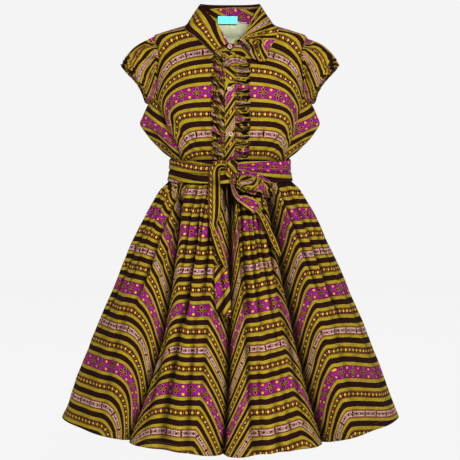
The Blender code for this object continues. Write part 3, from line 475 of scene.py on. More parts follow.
# Heights of the skirt's panels, clear of its folds, at which the print has gone through so many
# turns of its repeat. A whole turn is the middle of a flowered band. The back is cut like the
# left front.
Turns = namedtuple("Turns", "turns side_right front_right front_left side_left")
SKIRT_TURNS = [
    Turns(0.25, -0.2930, -0.3285, -0.3155, -0.2935),
    Turns(1.00, -0.4240, -0.4545, -0.4425, -0.4235),
    Turns(1.50, -0.5070, -0.5385, -0.5305, -0.5110),
    Turns(2.00, -0.5910, -0.6215, -0.6130, -0.5970),
    Turns(2.50, -0.6780, -0.7060, -0.6985, -0.6830),
    Turns(3.00, -0.7660, -0.7890, -0.7825, -0.7750),
    Turns(3.50, -0.8570, -0.8800, -0.8720, -0.8700),
    Turns(4.20, -0.9850, -1.0060, -0.9980, -1.0020),
]
# How far the stripes fall where they meet at a seam of the skirt, by height.
Drop = namedtuple("Drop", "z right centre left back")
DROPS = [
    Drop(-0.352, 0.080, 0.060, 0.070, 0.060),
    Drop(-0.450, 0.095, 0.075, 0.082, 0.080),
    Drop(-0.520, 0.101, 0.080, 0.088, 0.092),
    Drop(-0.610, 0.110, 0.086, 0.093, 0.100),
    Drop(-0.705, 0.113, 0.095, 0.109, 0.105),
    Drop(-0.790, 0.114, 0.101, 0.110, 0.108),
    Drop(-0.890, 0.122, 0.108, 0.116, 0.112),
    Drop(-0.945, 0.125, 0.110, 0.118, 0.114),
]
# The way down to a seam from the flat of a panel: how many degrees before the seam it starts and
# how sharply it steepens, under the sash and at the hem.
Fall = namedtuple("Fall", "width_top width_foot power")
FALL_TOP_Z, FALL_FOOT_Z = -0.45, -0.90
SOFT_FALL = Fall(18.0, 18.0, 1.8)
# Each panel: its two seams by their place in skirt_seams(), the falls on the way to them, the
# columns of the tables that it takes, and the bearing of its middle.
Panel = namedtuple("Panel", "start end fall_start fall_end turns drop_start drop_end middle")
PANELS = {
    "skirt_front_right": Panel(
        0, 1, Fall(9.0, 25.0, 2.6), Fall(13.0, 14.5, 1.3), "front_right", "right", "centre", -25.0
    ),
    "skirt_front_left": Panel(
        1, 2, Fall(9.0, 14.5, 1.3), Fall(9.0, 17.0, 1.5), "front_left", "centre", "left", 22.0
    ),
    "skirt_side_left": Panel(
        2, 3, Fall(13.0, 11.0, 1.5), SOFT_FALL, "side_left", "left", "back", 90.0
    ),
    "skirt_back_left": Panel(3, 4, SOFT_FALL, SOFT_FALL, "front_left", "back", "centre", 156.0),
    "skirt_back_right": Panel(4, 5, SOFT_FALL, SOFT_FALL, "front_left", "centre", "back", 204.0),
    "skirt_side_right": Panel(
        5, 0, SOFT_FALL, Fall(22.0, 13.0, 2.5), "side_right", "back", "right", -90.0
    ),
}
LEFT_TILT = 0.0006  # fall of the left front's stripes for each degree from its middle to the centre
TILT_TOP_Z, TILT_GROWTH = -0.36, 0.20  # where that starts, and the height over which it grows
LEFT_DROOP = 0.028  # how much lower the stripes hang at the left side line, near the hem
DROOP_TOP_Z, DROOP_GROWTH = -0.55, 0.25
DROOP_START, DROOP_END, DROOP_EASE = 62.0, 118.0, 26.0  # bearings, and how it grows from them

DROP_AT = columns(DROPS, "z")
HEIGHT_OF = columns(SKIRT_TURNS, "turns")
UPWARD = SKIRT_TURNS[::-1]
TURNS_OF = {
    name: smooth([getattr(row, name) for row in UPWARD], [row.turns for row in UPWARD])
    for name in HEIGHT_OF
}
# The panel on whose stripes each drop was measured.
DROP_OWNER = {
    "right": "side_right",
    "centre": "front_right",
    "left": "side_left",
    "back": "front_left",
}


def seam_fall(panel, drop, fall, away, z):
    """How far below a panel's flat the stripe lies at degrees away from one of its seams."""
    meeting = TURNS_OF[DROP_OWNER[drop]](z + DROP_AT[drop](z))
    deepest = HEIGHT_OF[panel.turns](meeting) - z
    down = np.clip((FALL_TOP_Z - z) / (FALL_TOP_Z - FALL_FOOT_Z), 0, 1)
    width = fall.width_top + (fall.width_foot - fall.width_top) * down
    return deepest * np.clip(1 - away / width, 0, 1) ** fall.power


def skirt_turns(name, bearing, z):
    """Turns of the print at a place of a skirt panel."""
    panel = PANELS[name]
    seams = skirt_seams(z)
    from_start = np.abs(turn_between(bearing, seams[panel.start]))
    from_end = np.abs(turn_between(bearing, seams[panel.end]))
    fall = seam_fall(panel, panel.drop_start, panel.fall_start, from_start, z)
    fall = np.maximum(fall, seam_fall(panel, panel.drop_end, panel.fall_end, from_end, z))
    if name == "skirt_side_left":
        grown = ramp((DROOP_TOP_Z - z) / DROOP_GROWTH)
        near = ramp((bearing - DROOP_START) / DROOP_EASE) * ramp((DROOP_END - bearing) / DROOP_EASE)
        fall = fall + LEFT_DROOP * grown * near
    if name == "skirt_front_left":
        grown = ramp((TILT_TOP_Z - z) / TILT_GROWTH)
        fall = fall + LEFT_TILT * (panel.middle - bearing) * grown
    return TURNS_OF[panel.turns](z + fall)


BODICE_BAND_Z = -0.1497  # height of a flowered band's middle on the bodice
BODICE_REPEAT = 0.1825
# How far the stripes of a front or back fall at its side seam or armhole, and over what distance.
Hang = namedtuple("Hang", "z drop width")
BODICE_DROPS = [
    Hang(-0.345, 0.030, 0.0140),
    Hang(-0.280, 0.050, 0.0145),
    Hang(-0.256, 0.066, 0.0150),
    Hang(-0.230, 0.085, 0.0155),
    Hang(-0.203, 0.094, 0.0167),
    Hang(-0.168, 0.096, 0.0235),
    Hang(-0.116, 0.086, 0.0290),
    Hang(-0.064, 0.056, 0.0420),
    Hang(0.020, 0.045, 0.0450),
]
HANG_AT = columns(BODICE_DROPS, "z")
BELOW_SHOULDER = [row for row in SIDE_EDGE if row.up <= SHOULDER_TIP_UP]
BITE_AT = smooth([row.z for row in BELOW_SHOULDER], [row.bite for row in BELOW_SHOULDER])
SIDE_LINE_DROP = 0.062  # on a side panel, at the side line
SIDE_SEAM_DROP = 0.046  # and this much more at its seams
SIDE_DROP_POWER = 1.5
SIDE_PANEL_HALF = 26.0  # degrees


def bodice_turns(bearing, z):
    """Turns of the print on a front or the back of the bodice."""
    seam = side_seam(bearing, z)
    edge = seam + (90.0 - seam) * BITE_AT(z)
    at_edge = np.abs(bodice(np.sign(bearing + 1e-9) * edge, z)[..., 0])
    here = np.abs(bodice(bearing, z)[..., 0])
    drop = HANG_AT["drop"](z) * np.exp(-np.maximum(at_edge - here, 0.0) / HANG_AT["width"](z))
    return (BODICE_BAND_Z - z - drop) / BODICE_REPEAT


def side_turns(bearing, z):
    """Turns of the print on a side panel of the bodice."""
    from_side = np.abs(90.0 - np.abs(bearing)) / SIDE_PANEL_HALF
    drop = SIDE_LINE_DROP + SIDE_SEAM_DROP * from_side**SIDE_DROP_POWER
    return (BODICE_BAND_Z - z - drop) / BODICE_REPEAT


# Where the motifs are, in turns: they are drawn square to the middle line of their own band.
BAND_STEPS = [
    (0.000, 0.000),
    (0.072, 0.000),
    (0.235, 0.267),
    (0.299, 0.267),
    (0.464, 0.500),
    (0.536, 0.500),
    (0.701, 0.733),
    (0.765, 0.733),
    (0.928, 1.000),
    (1.000, 1.000),
]
STRIPE_LEVELS = 160


def band_middle(turns):
    """Turns of the middle of the band that a place is in."""
    whole = np.floor(turns)
    return whole + np.interp(turns - whole, *zip(*BAND_STEPS))


def cloth_map(points, turns, along=0, start=None):
    """UV of a grid, in metres of cloth: along the stripes, and up through the print.

    The first is measured along the stripe in the middle of each band, from the grid's middle or
    from start, in the direction of the grid's axis that the stripes follow.
    """
    if along:
        return cloth_map(points.transpose(1, 0, 2), turns.T, 0, start).transpose(1, 0, 2)
    start = (points.shape[0] - 1) // 2 if start is None else start
    levels = np.linspace(turns.min(), turns.max(), STRIPE_LEVELS)
    order = np.argsort(turns, axis=1)
    stripes = np.stack([interpolate(levels, t[o], p[o]) for t, o, p in zip(turns, order, points)])
    step = np.linalg.norm(np.diff(stripes, axis=0), axis=-1)
    run = np.concatenate([np.zeros((1, STRIPE_LEVELS)), np.cumsum(step, axis=0)])
    run = run - run[start]
    way = np.gradient(stripes, axis=0)
    way = way / (np.linalg.norm(way, axis=-1, keepdims=True) + 1e-9)
    rows = np.concatenate([run[..., None], stripes, way], axis=-1)
    middle = np.stack([interpolate(band_middle(t), levels, row) for t, row in zip(turns, rows)])
    off = ((points - middle[..., 1:4]) * middle[..., 4:]).sum(axis=-1)
    return np.stack([middle[..., 0] + off, -turns * REPEAT], axis=-1)


def small_map(points, turns, share):
    """UV of a small grid whose stripes follow its first axis, or its second by this share."""
    across = np.linalg.norm(np.diff(points, axis=0), axis=-1)
    across = np.concatenate([np.zeros((1, points.shape[1])), np.cumsum(across, axis=0)])
    down = np.linalg.norm(np.diff(points, axis=1), axis=-1)
    down = np.concatenate([np.zeros((points.shape[0], 1)), np.cumsum(down, axis=1)], axis=1)
    return np.stack([across * (1 - share) + down * share, -turns * REPEAT], axis=-1)


# ---------------------------------------------------------------- materials
class Graph:
    """A material's node tree, whose sums are written as plain expressions."""

    def __init__(self, name):
        self.material = bpy.data.materials.new(name)
        self.material.use_nodes = True
        self.tree = self.material.node_tree
        self.shader = self.tree.nodes["Principled BSDF"]

    @classmethod
    def of_world(cls, name):
        """The node tree of a new world, which is made the scene's."""
        graph = cls.__new__(cls)
        world = bpy.data.worlds.new(name)
        world.use_nodes = True
        graph.tree = world.node_tree
        graph.shader = graph.tree.nodes["Background"]
        bpy.context.scene.world = world
        return graph

    def link(self, value, socket):
        """Link a value, or set it where it is a plain number or colour."""
        if isinstance(value, Value):
            self.tree.links.new(value.socket, socket)
        elif isinstance(value, tuple):
            socket.default_value = (*value, 1.0)[: len(socket.default_value)]
        else:
            socket.default_value = value

    def set(self, **values):
        """Set or link the shader's inputs, named with _ for a space."""
        for name, value in values.items():
            self.link(value, self.shader.inputs[name.replace("_", " ")])

    def node(self, kind, inputs=(), output=0, **settings):
        """One output of a new node, with these settings and pairs of an input and its value."""
        node = self.tree.nodes.new("ShaderNode" + kind)
        for name, value in settings.items():
            setattr(node, name, value)
        for name, value in inputs:
            self.link(value, node.inputs[name])
        return Value(self, node.outputs[output])

    def sum(self, operation, *values, clamp=False):
        """A Math node's result; with clamp it's held between 0 and 1."""
        return self.node("Math", enumerate(values), operation=operation, use_clamp=clamp)

    def mix(self, share, one, other, blend="MIX"):
        """From one colour to another by a share."""
        inputs = ((0, share), (6, one), (7, other))
        return self.node("Mix", inputs, 2, data_type="RGBA", blend_type=blend)

    def tinted(self, share, colour, tint):
        """A colour multiplied by a tint, by a share."""
        return self.mix(share, colour, self.mix(1.0, colour, tint, "MULTIPLY"))

    def coats(self, colour, distance, *coats):
        """Paint laid over a colour: each coat where the distance is under its edge."""
        for edge, soft, paint, *share in coats:
            cover = distance.under(edge, soft)
            colour = self.mix(cover * share[0] if share else cover, colour, paint)
        return colour

    def noise(self, where, scale, detail=2.0, roughness=0.5):
        inputs = {"Vector": where, "Scale": scale, "Detail": detail, "Roughness": roughness}
        return self.node("TexNoise", inputs.items())

    def veins(self, where, scale):
        """Distance from the edges of the cells of a random net."""
        inputs = {"Vector": where, "Scale": scale}
        return self.node("TexVoronoi", inputs.items(), feature="DISTANCE_TO_EDGE")

    def vector(self, x, y, z=0.0):
        return self.node("CombineXYZ", enumerate((x, y, z)))

    def split(self, vector):
        """The three parts of a vector."""
        first = self.node("SeparateXYZ", [(0, vector)])
        return [Value(self, socket) for socket in first.socket.node.outputs]

    def uv(self):
        """Metres of cloth along the stripes and up through the print."""
        return self.split(self.node("UVMap", uv_map="cloth"))[:2]

    def place(self):
        return self.node("TexCoord", output="Object")

    def direction(self):
        return self.node("TexCoord", output="Generated")

    def attribute(self, name):
        return self.node("Attribute", output="Fac", attribute_name=name)

    def bands(self, where, stops):
        """A colour for each stretch of a value from 0 to 1, changing at once at each stop."""
        node = self.tree.nodes.new("ShaderNodeValToRGB")
        node.color_ramp.interpolation = "CONSTANT"
        elements = node.color_ramp.elements
        elements.remove(elements[-1])
        elements[0].position, elements[0].color = stops[0][0], (*stops[0][1], 1.0)
        for position, colour in stops[1:]:
            elements.new(position).color = (*colour, 1.0)
        self.link(where, node.inputs[0])
        return Value(self, node.outputs[0])

    def bump(self, height, strength, distance):
        """Give the surface the relief of a height."""
        inputs = {"Height": height, "Strength": strength, "Distance": distance}
        self.set(Normal=self.node("Bump", inputs.items()))


class Value:
    """A number or colour at each point of a surface."""

    def __init__(self, graph, socket):
        self.graph, self.socket = graph, socket

    def __add__(self, other):
        return self.graph.sum("ADD", self, other)

    def __sub__(self, other):
        return self.graph.sum("SUBTRACT", self, other)

    def __mul__(self, other):
        return self.graph.sum("MULTIPLY", self, other)

    def __truediv__(self, other):
        return self.graph.sum("DIVIDE", self, other)

    def __pow__(self, other):
        return self.graph.sum("POWER", self, other)

    def __abs__(self):
        return self.graph.sum("ABSOLUTE", self)

    def fract(self):
        return self.graph.sum("FRACT", self)

    def wave(self, length):
        """A sine wave of this length."""
        return self.graph.sum("SINE", self * (2 * math.pi / length))

    def held(self, factor):
        """The value times a factor, held between 0 and 1."""
        return self.graph.sum("MULTIPLY", self, factor, clamp=True)

    def around(self, period, centre=0.0):
        """Signed distance from the nearest of the centres that come every period."""
        return ((self - centre) / period + 0.5).fract() * period - period / 2

    def under(self, edge, soft):
        """1 where the value is less than edge, 0 where it is more."""
        return self.graph.sum("MULTIPLY_ADD", self, -1.0 / soft, edge / soft + 0.5, clamp=True)


DYE = 0.60  # share of a screen colour's light that the dyed cloth gives back


def linear(red, green, blue, share=1.0):
    """A colour in the shader's units from one of a screen's, 0 to 255."""
    parts = [value / 255.0 for value in (red, green, blue)]
    return tuple(share * (p / 12.92 if p < 0.04045 else ((p + 0.055) / 1.055) ** 2.4) for p in parts)


def dye(red, green, blue):
    return linear(red, green, blue, DYE)


OLIVE = dye(199, 176, 46)
DARK = dye(51, 20, 17)
INK = dye(14, 6, 8)
PURPLE = dye(172, 14, 146)
PURPLE_LIGHT = dye(186, 62, 168)
YELLOW = dye(255, 226, 26)
AMBER = dye(226, 126, 34)
RUST = dye(168, 88, 48)
UMBER = dye(96, 34, 34)
PINK_WHITE = dye(250, 222, 216)
LILAC = dye(200, 160, 186)

# The print from the middle of a flowered band to the middle of a white one: how far the colour
# starts from the flowered band's middle.
BANDS = [
    (0.0000, PURPLE),
    (0.0133, INK),
    (0.0146, OLIVE),
    (0.0225, INK),
    (0.0236, DARK),
    (0.0336, INK),
    (0.0348, OLIVE),
    (0.0424, INK),
    (0.0434, RUST),
    (0.0458, INK),
    (0.0552, RUST),
    (0.0568, INK),
    (0.0579, OLIVE),
    (0.0656, INK),
    (0.0667, DARK),
    (0.0767, INK),
    (0.0779, OLIVE),
    (0.0849, INK),
    (0.0855, RUST),
    (0.0881, INK),
    (0.0885, PINK_WHITE),
]
HALF_REPEAT = REPEAT / 2
WANDER = 0.0012  # how far the print's lines wander on the cloth
DRAWN = 0.0004  # softness of its drawn lines
BAND_EDGE = 0.0003  # and of the edges of its three drawn bands
FLOWERS_HALF = 0.0134  # half the height of the flowered band
FLOWER_EVERY = 0.0358
DOTS_MIDDLE = 0.0500  # of the dotted band, from the flowered one's
DOTS_HALF = 0.0046
DOT_EVERY = 0.0127
WHITE_HALF = 0.0060
BAR_EVERY = 0.0375
SQUIGGLE_LONG, SQUIGGLE_HIGH = 0.0094, 0.0030
FAINT_LINE_EVERY = 0.0031
THREAD_EVERY = 0.0007
# Tints that multiply the print's colour: where its dye is thin and where it's patchy, and where the cloth
# is worn pale; then painted shade down in a fold, darker painted shade at the bottom of a deep one, and a
# painted highlight along a ridge.
STREAK_TINT = (0.55, 0.50, 0.42)
PATCH_TINT = (0.72, 0.66, 0.60)
WEAR_TINT = (1.5, 1.5, 1.6)
FOLD_SHADE_TINT = (0.42, 0.38, 0.36)
DEEP_FOLD_SHADE_TINT = (0.16, 0.15, 0.16)
RIDGE_HIGHLIGHT_TINT = (1.35, 1.35, 1.30)
FOLD_SHADE_FULL = 0.0022  # depth at which a fold has its whole painted shade
DEEP_SHADE_FROM, DEEP_SHADE_OVER = 0.0018, 0.0035  # where the deep painted shade starts, and how it grows
# height of a ridge at which its painted highlight is whole
RIDGE_HIGHLIGHT_FULL = 0.0030


def flowered(graph, u, away):
    """Flowers of four petals, and pairs of yellow dots between them."""
    heart_wide, heart_high = 0.0072, 0.0080
    petal_half, petal_power = 0.0032, 1.4
    side_out, side_long = 0.0068, 0.0052
    tall_out, tall_long = 0.0072, 0.0054
    dot_out = 0.0087
    along = abs(u.around(FLOWER_EVERY))
    between = abs(u.around(FLOWER_EVERY, FLOWER_EVERY / 2))
    cross = abs(between - away).under(0.0016, 0.0010) * between.under(0.0085, 0.004)
    paint = graph.mix(cross * 0.7, PURPLE, PURPLE_LIGHT)
    heart = along / heart_wide + away / heart_high
    paint = graph.coats(paint, heart, (1.0, 0.12, UMBER), (0.70, 0.12, RUST, 0.6))
    side = (abs(along - side_out) / side_long) ** petal_power + (away / petal_half) ** petal_power
    tall = (along / petal_half) ** petal_power + (abs(away - tall_out) / tall_long) ** petal_power
    petal = graph.sum("MINIMUM", side, tall)
    paint = graph.coats(paint, petal, (1.0, 0.16, OLIVE), (0.66, 0.14, DARK), (0.22, 0.10, INK))
    stamens = abs(along - away).under(0.0006, DRAWN) * (along + away).under(0.0056, 0.0008)
    paint = graph.mix(stamens, paint, RUST)
    dot = (between**2 + (away - dot_out) ** 2) ** 0.5
    return graph.coats(paint, dot, (0.0040, 0.0006, DARK), (0.0030, 0.0006, YELLOW))


def dotted(graph, u, away):
    """Yellow dots, and a lilac bar between two black ones after each."""
    dot_wide, dot_high = 0.0025, 0.0030
    beside = abs(u.around(DOT_EVERY))
    bar = abs(u.around(DOT_EVERY, DOT_EVERY / 2))
    paint = graph.coats(UMBER, bar, (0.0032, DRAWN, INK))
    lilac = bar.under(0.0009, DRAWN) * away.under(0.0028, 0.0006)
    paint = graph.mix(lilac * 0.7, paint, LILAC)
    dot = ((beside / dot_wide) ** 2 + (away / dot_high) ** 2) ** 0.5
    return graph.coats(paint, dot, (1.15, 0.15, AMBER), (0.98, 0.15, YELLOW))


def white(graph, u, v, off):
    """Black bars, orange dots and diamonds beside them, and a squiggle along the middle."""
    away = abs(off)
    clouds = graph.noise(graph.vector(u, v * 2.0), 260.0)
    paint = graph.mix((clouds - 0.45) * 3.0, PINK_WHITE, LILAC)
    squiggle = u.wave(SQUIGGLE_LONG) * SQUIGGLE_HIGH
    paint = graph.coats(paint, abs(off - squiggle), (0.0010, DRAWN, UMBER))
    paint = graph.coats(paint, abs(off + squiggle), (0.0008, DRAWN, RUST))
    step = abs(u.around(BAR_EVERY))
    diamond = abs(step - 0.0115) / 0.0026 + away / 0.0020
    paint = graph.coats(paint, diamond, (1.0, 0.2, INK))
    orange = ((step - 0.0062) ** 2 + away**2) ** 0.5
    paint = graph.coats(paint, orange, (0.0024, DRAWN, AMBER))
    for every, out, half_high, colour in ((0.0068, 0.0034, 0.0012, RUST), (0.0091, 0.0012, 0.0016, INK)):
        fleck = abs(u.around(every)) / 0.0013 + abs(away - out) / half_high
        paint = graph.coats(paint, fleck, (1.0, 0.2, colour))
    return graph.coats(paint, step, (0.0017, DRAWN, INK))


def worn(graph, colour, u, v, away, drift):
    """Faint lines along the stripes, streaks of dye, pale wear and the crackle of cracked wax."""
    streaks = graph.noise(graph.vector(u * 0.10, v), 700.0)
    lines = away.wave(FAINT_LINE_EVERY)
    shade = graph.sum("MULTIPLY_ADD", lines, 0.24, (streaks - 0.5) * 2.0 + 0.55, clamp=True)
    colour = graph.tinted(shade, colour, STREAK_TINT)
    colour = graph.tinted(graph.noise(graph.place(), 14.0) * 0.5, colour, PATCH_TINT)
    pale = graph.noise(graph.place(), 55.0, 4.0, 0.7) - 0.55
    colour = graph.tinted(pale.held(0.9), colour, WEAR_TINT)
    cracks = graph.veins(graph.vector(u + drift * 0.006, v), 55.0)
    return graph.coats(colour, cracks, (0.012, 0.02, INK, 0.28))


def with_painted_fold_shade(graph, colour):
    """Painted shade: the colour is darkened down in the cloth's folds, and given a painted highlight
    along its ridges.
    """
    fold = graph.attribute("fold")
    colour = graph.tinted(fold.held(1 / FOLD_SHADE_FULL), colour, FOLD_SHADE_TINT)
    colour = graph.tinted((fold - DEEP_SHADE_FROM).held(1 / DEEP_SHADE_OVER), colour, DEEP_FOLD_SHADE_TINT)
    return graph.tinted(fold.held(-1 / RIDGE_HIGHLIGHT_FULL) * 0.5, colour, RIDGE_HIGHLIGHT_TINT)


def wax_print():
    """Cotton printed in olive and brown stripes, with a flowered, a dotted and a white band."""
    graph = Graph("wax_print_cotton")
    u, v = graph.uv()
    drift = graph.noise(graph.vector(u, v), 90.0)
    v = v + (drift - 0.5) * WANDER
    u = u + (graph.noise(graph.vector(v, u), 70.0) - 0.5) * WANDER
    away = abs(v.around(REPEAT))
    colour = graph.bands(away / HALF_REPEAT, [(at / HALF_REPEAT, paint) for at, paint in BANDS])
    colour = graph.coats(colour, away, (FLOWERS_HALF, BAND_EDGE, flowered(graph, u, away)))
    from_dots = abs(away - DOTS_MIDDLE)
    colour = graph.coats(colour, from_dots, (DOTS_HALF, BAND_EDGE, dotted(graph, u, from_dots)))
    off = v.around(REPEAT, HALF_REPEAT)
    colour = graph.coats(colour, abs(off), (WHITE_HALF, BAND_EDGE, white(graph, u, v, off)))
    # Painted shade in the folds and a painted highlight on the ridges, from the fold attribute.
    colour = with_painted_fold_shade(graph, worn(graph, colour, u, v, away, drift))
    # The weave, coarse enough to see close by.
    thread = u.wave(THREAD_EVERY) * v.wave(THREAD_EVERY)
    slub = graph.noise(graph.vector(u, v), 1500.0)
    graph.bump(thread * 0.4 + slub, 0.35, 0.00025)
    graph.set(Base_Color=colour, Roughness=slub * 0.16 + 0.74, Specular_IOR_Level=0.05)
    return graph.material


PLAIN_THREAD_EVERY = 0.0009


def plain_cloth(name, light, deep, scale):
    """A bare woven cloth of one dye, uneven in its colour."""
    graph = Graph(name)
    u, v = graph.uv()
    where = graph.vector(u, v)
    weave = u.wave(PLAIN_THREAD_EVERY) * v.wave(PLAIN_THREAD_EVERY)
    colour = graph.mix(graph.noise(where, scale, 3.0), light, deep)
    graph.bump(weave * 0.5 + graph.noise(where, 1400.0), 0.4, 0.0003)
    graph.set(Base_Color=colour, Roughness=weave * 0.05 + 0.72, Specular_IOR_Level=0.2)
    return graph.material


def pearly(name, light, deep):
    """The shell-like plastic of the buttons."""
    graph = Graph(name)
    where = graph.place()
    cloud = graph.noise(where, 180.0, 3.0)
    colour = graph.mix(cloud, light, deep)
    graph.bump(graph.noise(where, 900.0), 0.15, 0.0002)
    graph.set(Base_Color=colour, Roughness=cloud * 0.12 + 0.26, Coat_Weight=0.3)
    return graph.material


def thread():
    """Olive sewing thread."""
    graph = Graph("sewing_thread")
    twist = graph.noise(graph.place(), 2500.0, 3.0)
    colour = graph.mix(twist, linear(170, 148, 60), linear(120, 98, 34))
    graph.bump(twist, 0.3, 0.0001)
    graph.set(Base_Color=colour, Roughness=twist * 0.1 + 0.6)
    return graph.material


WAX_PRINT = wax_print()
LINING = plain_cloth("pale_lining", linear(206, 212, 176), linear(186, 190, 156), 60.0)
LABEL_BLUE = plain_cloth("label_satin", linear(118, 246, 250), linear(96, 226, 236), 120.0)
BUTTON_PINK = pearly("button_rim", linear(204, 176, 158), linear(150, 116, 98))
BUTTON_DEEP = pearly("button_dish", linear(126, 88, 62), linear(88, 52, 38))
THREAD = thread()


# ---------------------------------------------------------------- making pieces
LAYER = 0.0006  # wall of a piece of cloth
PIECES = bpy.data.collections.new("dress_looks")
bpy.context.scene.collection.children.link(PIECES)


def pairs(across, down):
    """Every pair of the two lists of values, as two grids."""
    return np.meshgrid(across, down, indexing="ij")


# Columns and rows of the grids of the smaller pieces.
GRIDS = {
    "collar_fall": (301, 33),
    "collar_stand": (241, 15),
    "neck_label": (41, 17),
    "placket": (19, 121),
    "sash_band": (401, 33),
    "sash_knot": (97, 41),
}


def grid_of(name, across, down):
    """A piece's grid of places, between two values across it and two down it."""
    wide, high = GRIDS[name]
    return pairs(np.linspace(*across, wide), np.linspace(*down, high))


def swapped(points):
    """A grid of points with its two axes exchanged."""
    return points.transpose(1, 0, 2)


def made_mesh(name, form, *looks):
    """A mesh from a bmesh, which is freed, with these materials."""
    mesh = bpy.data.meshes.new(name)
    form.to_mesh(mesh)
    form.free()
    for look in looks:
        mesh.materials.append(look)
    return mesh


def add_piece(name, mesh, slot, *nodes):
    """A piece of the dress that rides on its one body and stands for these nodes."""
    piece = bpy.data.objects.new(name, mesh)
    PIECES.objects.link(piece)
    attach(piece, "root")
    if nodes:
        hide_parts(*nodes)
    return piece


def cut_size(points):
    """Width, length and area of a grid of cloth, as it was cut."""
    across = np.linalg.norm(np.diff(points, axis=0), axis=-1)
    down = np.linalg.norm(np.diff(points, axis=1), axis=-1)
    one = np.cross(points[1:, :-1] - points[:-1, :-1], points[:-1, 1:] - points[:-1, :-1])
    two = np.cross(points[:-1, 1:] - points[1:, 1:], points[1:, :-1] - points[1:, 1:])
    area = (np.linalg.norm(one, axis=-1).sum() + np.linalg.norm(two, axis=-1).sum()) / 2
    return float(across.sum(axis=0).max()), float(down.sum(axis=1).max()), float(area)


HOLLOW_REACH = 0.011  # how far round a point its depth in the cloth is judged from
MOST_PASSES = 140


def hollow(points, closed):
    """How deep each point lies in the cloth around it, in metres; a ridge's is below zero."""
    soft = points[:-1] if closed else points
    for axis in (0, 1):
        step = np.linalg.norm(np.diff(points, axis=axis), axis=-1).mean()
        for _ in range(min(round(2 * (HOLLOW_REACH / step) ** 2), MOST_PASSES)):
            border = [(0, 0), (0, 0), (0, 0)]
            border[axis] = (1, 1)
            if closed and axis == 0:
                wide = np.pad(soft, border, mode="wrap")
            else:
                wide = np.pad(soft, border, mode="reflect", reflect_type="odd")
            cut = [slice(None)] * 3
            low, high = cut.copy(), cut.copy()
            low[axis], high[axis] = slice(None, -2), slice(2, None)
            soft = soft / 2 + (wide[tuple(low)] + wide[tuple(high)]) / 4
    soft = np.concatenate([soft, soft[:1]]) if closed else soft
    out = np.cross(np.gradient(points, axis=1), np.gradient(points, axis=0))
    out = out / (np.linalg.norm(out, axis=-1, keepdims=True) + 1e-12)
    depth = ((soft - points) * out).sum(axis=-1)
    return depth - np.median(depth)


def cloth(name, points, fabric, node=None, held="hung", rests_on=(), inside=None, **finish):
    """One piece of cloth: a grid of points on its outer face, thickened inward.

    points and fabric are [across][down], the first in metres and the second its UV. A closed
    piece's last column lies on its first and is joined to it. Its inside may have another look.
    """
    material, slot = finish.get("material", WAX_PRINT), finish.get("slot", "wax_print")
    wide, high = points.shape[:2]
    keep = wide - 1 if finish.get("closed") else wide
    i, k = pairs(np.arange(wide - 1), np.arange(high - 1))
    turns = ((0, 0), (0, 1), (1, 1), (1, 0))
    corners = np.stack([np.stack([i + a, k + b], axis=-1) for a, b in turns], axis=2).reshape(-1, 4, 2)
    faces = (corners[..., 0] % keep) * high + corners[..., 1]
    mesh = bpy.data.meshes.new(name)
    mesh.from_pydata(points[:keep].reshape(-1, 3).tolist(), [], faces.tolist())
    layer = mesh.uv_layers.new(name="cloth")
    uv = fabric[corners[..., 0], corners[..., 1]].reshape(-1, 2)
    layer.data.foreach_set("uv", uv.astype(np.float32).ravel())
    # The cloth's depth among its neighbours, plus any extra painted shade given as sunk, is kept as the
    # fold attribute, which the print's material turns into painted shade and painted highlight.
    depth = hollow(points, finish.get("closed", False)) + finish.get("sunk", 0.0)
    fold = mesh.attributes.new("fold", "FLOAT", "POINT")
    fold.data.foreach_set("value", depth[:keep].astype(np.float32).ravel())
    mesh.shade_smooth()
    mesh.materials.append(material)
    piece = add_piece(f"{name}_cloth", mesh, slot, node or name)
    thicken = piece.modifiers.new("wall", "SOLIDIFY")
    thicken.thickness = finish.get("wall", LAYER)
    thicken.offset = -1.0
    thicken.use_even_offset = False
    if inside:
        mesh.materials.append(inside)
        thicken.material_offset = 1
    width, length, area = cut_size(points)
    list(rests_on)
    return piece


# A soft trough in the cloth from one place to another, in bearing and height: how wide it is and
# how deep. A ridge has a depth below zero.
Crease = namedtuple("Crease", "bearing z to_bearing to_z width depth")
CREASE_TAPER = 0.6  # the lower, the sooner a crease is as deep as it gets
RIPPLE_WAVES = 7
RIPPLE_RADIUS = 0.2  # at which a ripple takes its bearings


def creased(bearing, z, creases, radius):
    """How far the creases move the cloth out, in metres; bearings are taken at this radius."""
    moved = 0.0 * bearing
    for crease in creases:
        along = np.radians(turn_between(bearing, crease.bearing)) * radius
        up = z - crease.z
        run = math.radians(crease.to_bearing - crease.bearing) * radius
        rise = crease.to_z - crease.z
        length = math.hypot(run, rise)
        share = (along * run + up * rise) / length**2
        off = (along * rise - up * run) / length
        taper = np.sin(math.pi * np.clip(share, 0, 1)) ** CREASE_TAPER
        moved = moved - crease.depth * taper * bell(off, crease.width)
    return moved


def rippled(bearing, z, seed, height, size):
    """A small unevenness of the cloth, the sum of a few waves that run all ways."""
    chance = np.random.default_rng(seed)
    moved = 0.0 * bearing
    for _ in range(RIPPLE_WAVES):
        angle = chance.uniform(0, math.pi)
        wave = size * chance.uniform(0.6, 1.7)
        start = chance.uniform(0, 2 * math.pi)
        way = np.radians(bearing) * RIPPLE_RADIUS * math.cos(angle) + z * math.sin(angle)
        moved = moved + np.cos(way * 2 * math.pi / wave + start)
    return height * moved / RIPPLE_WAVES


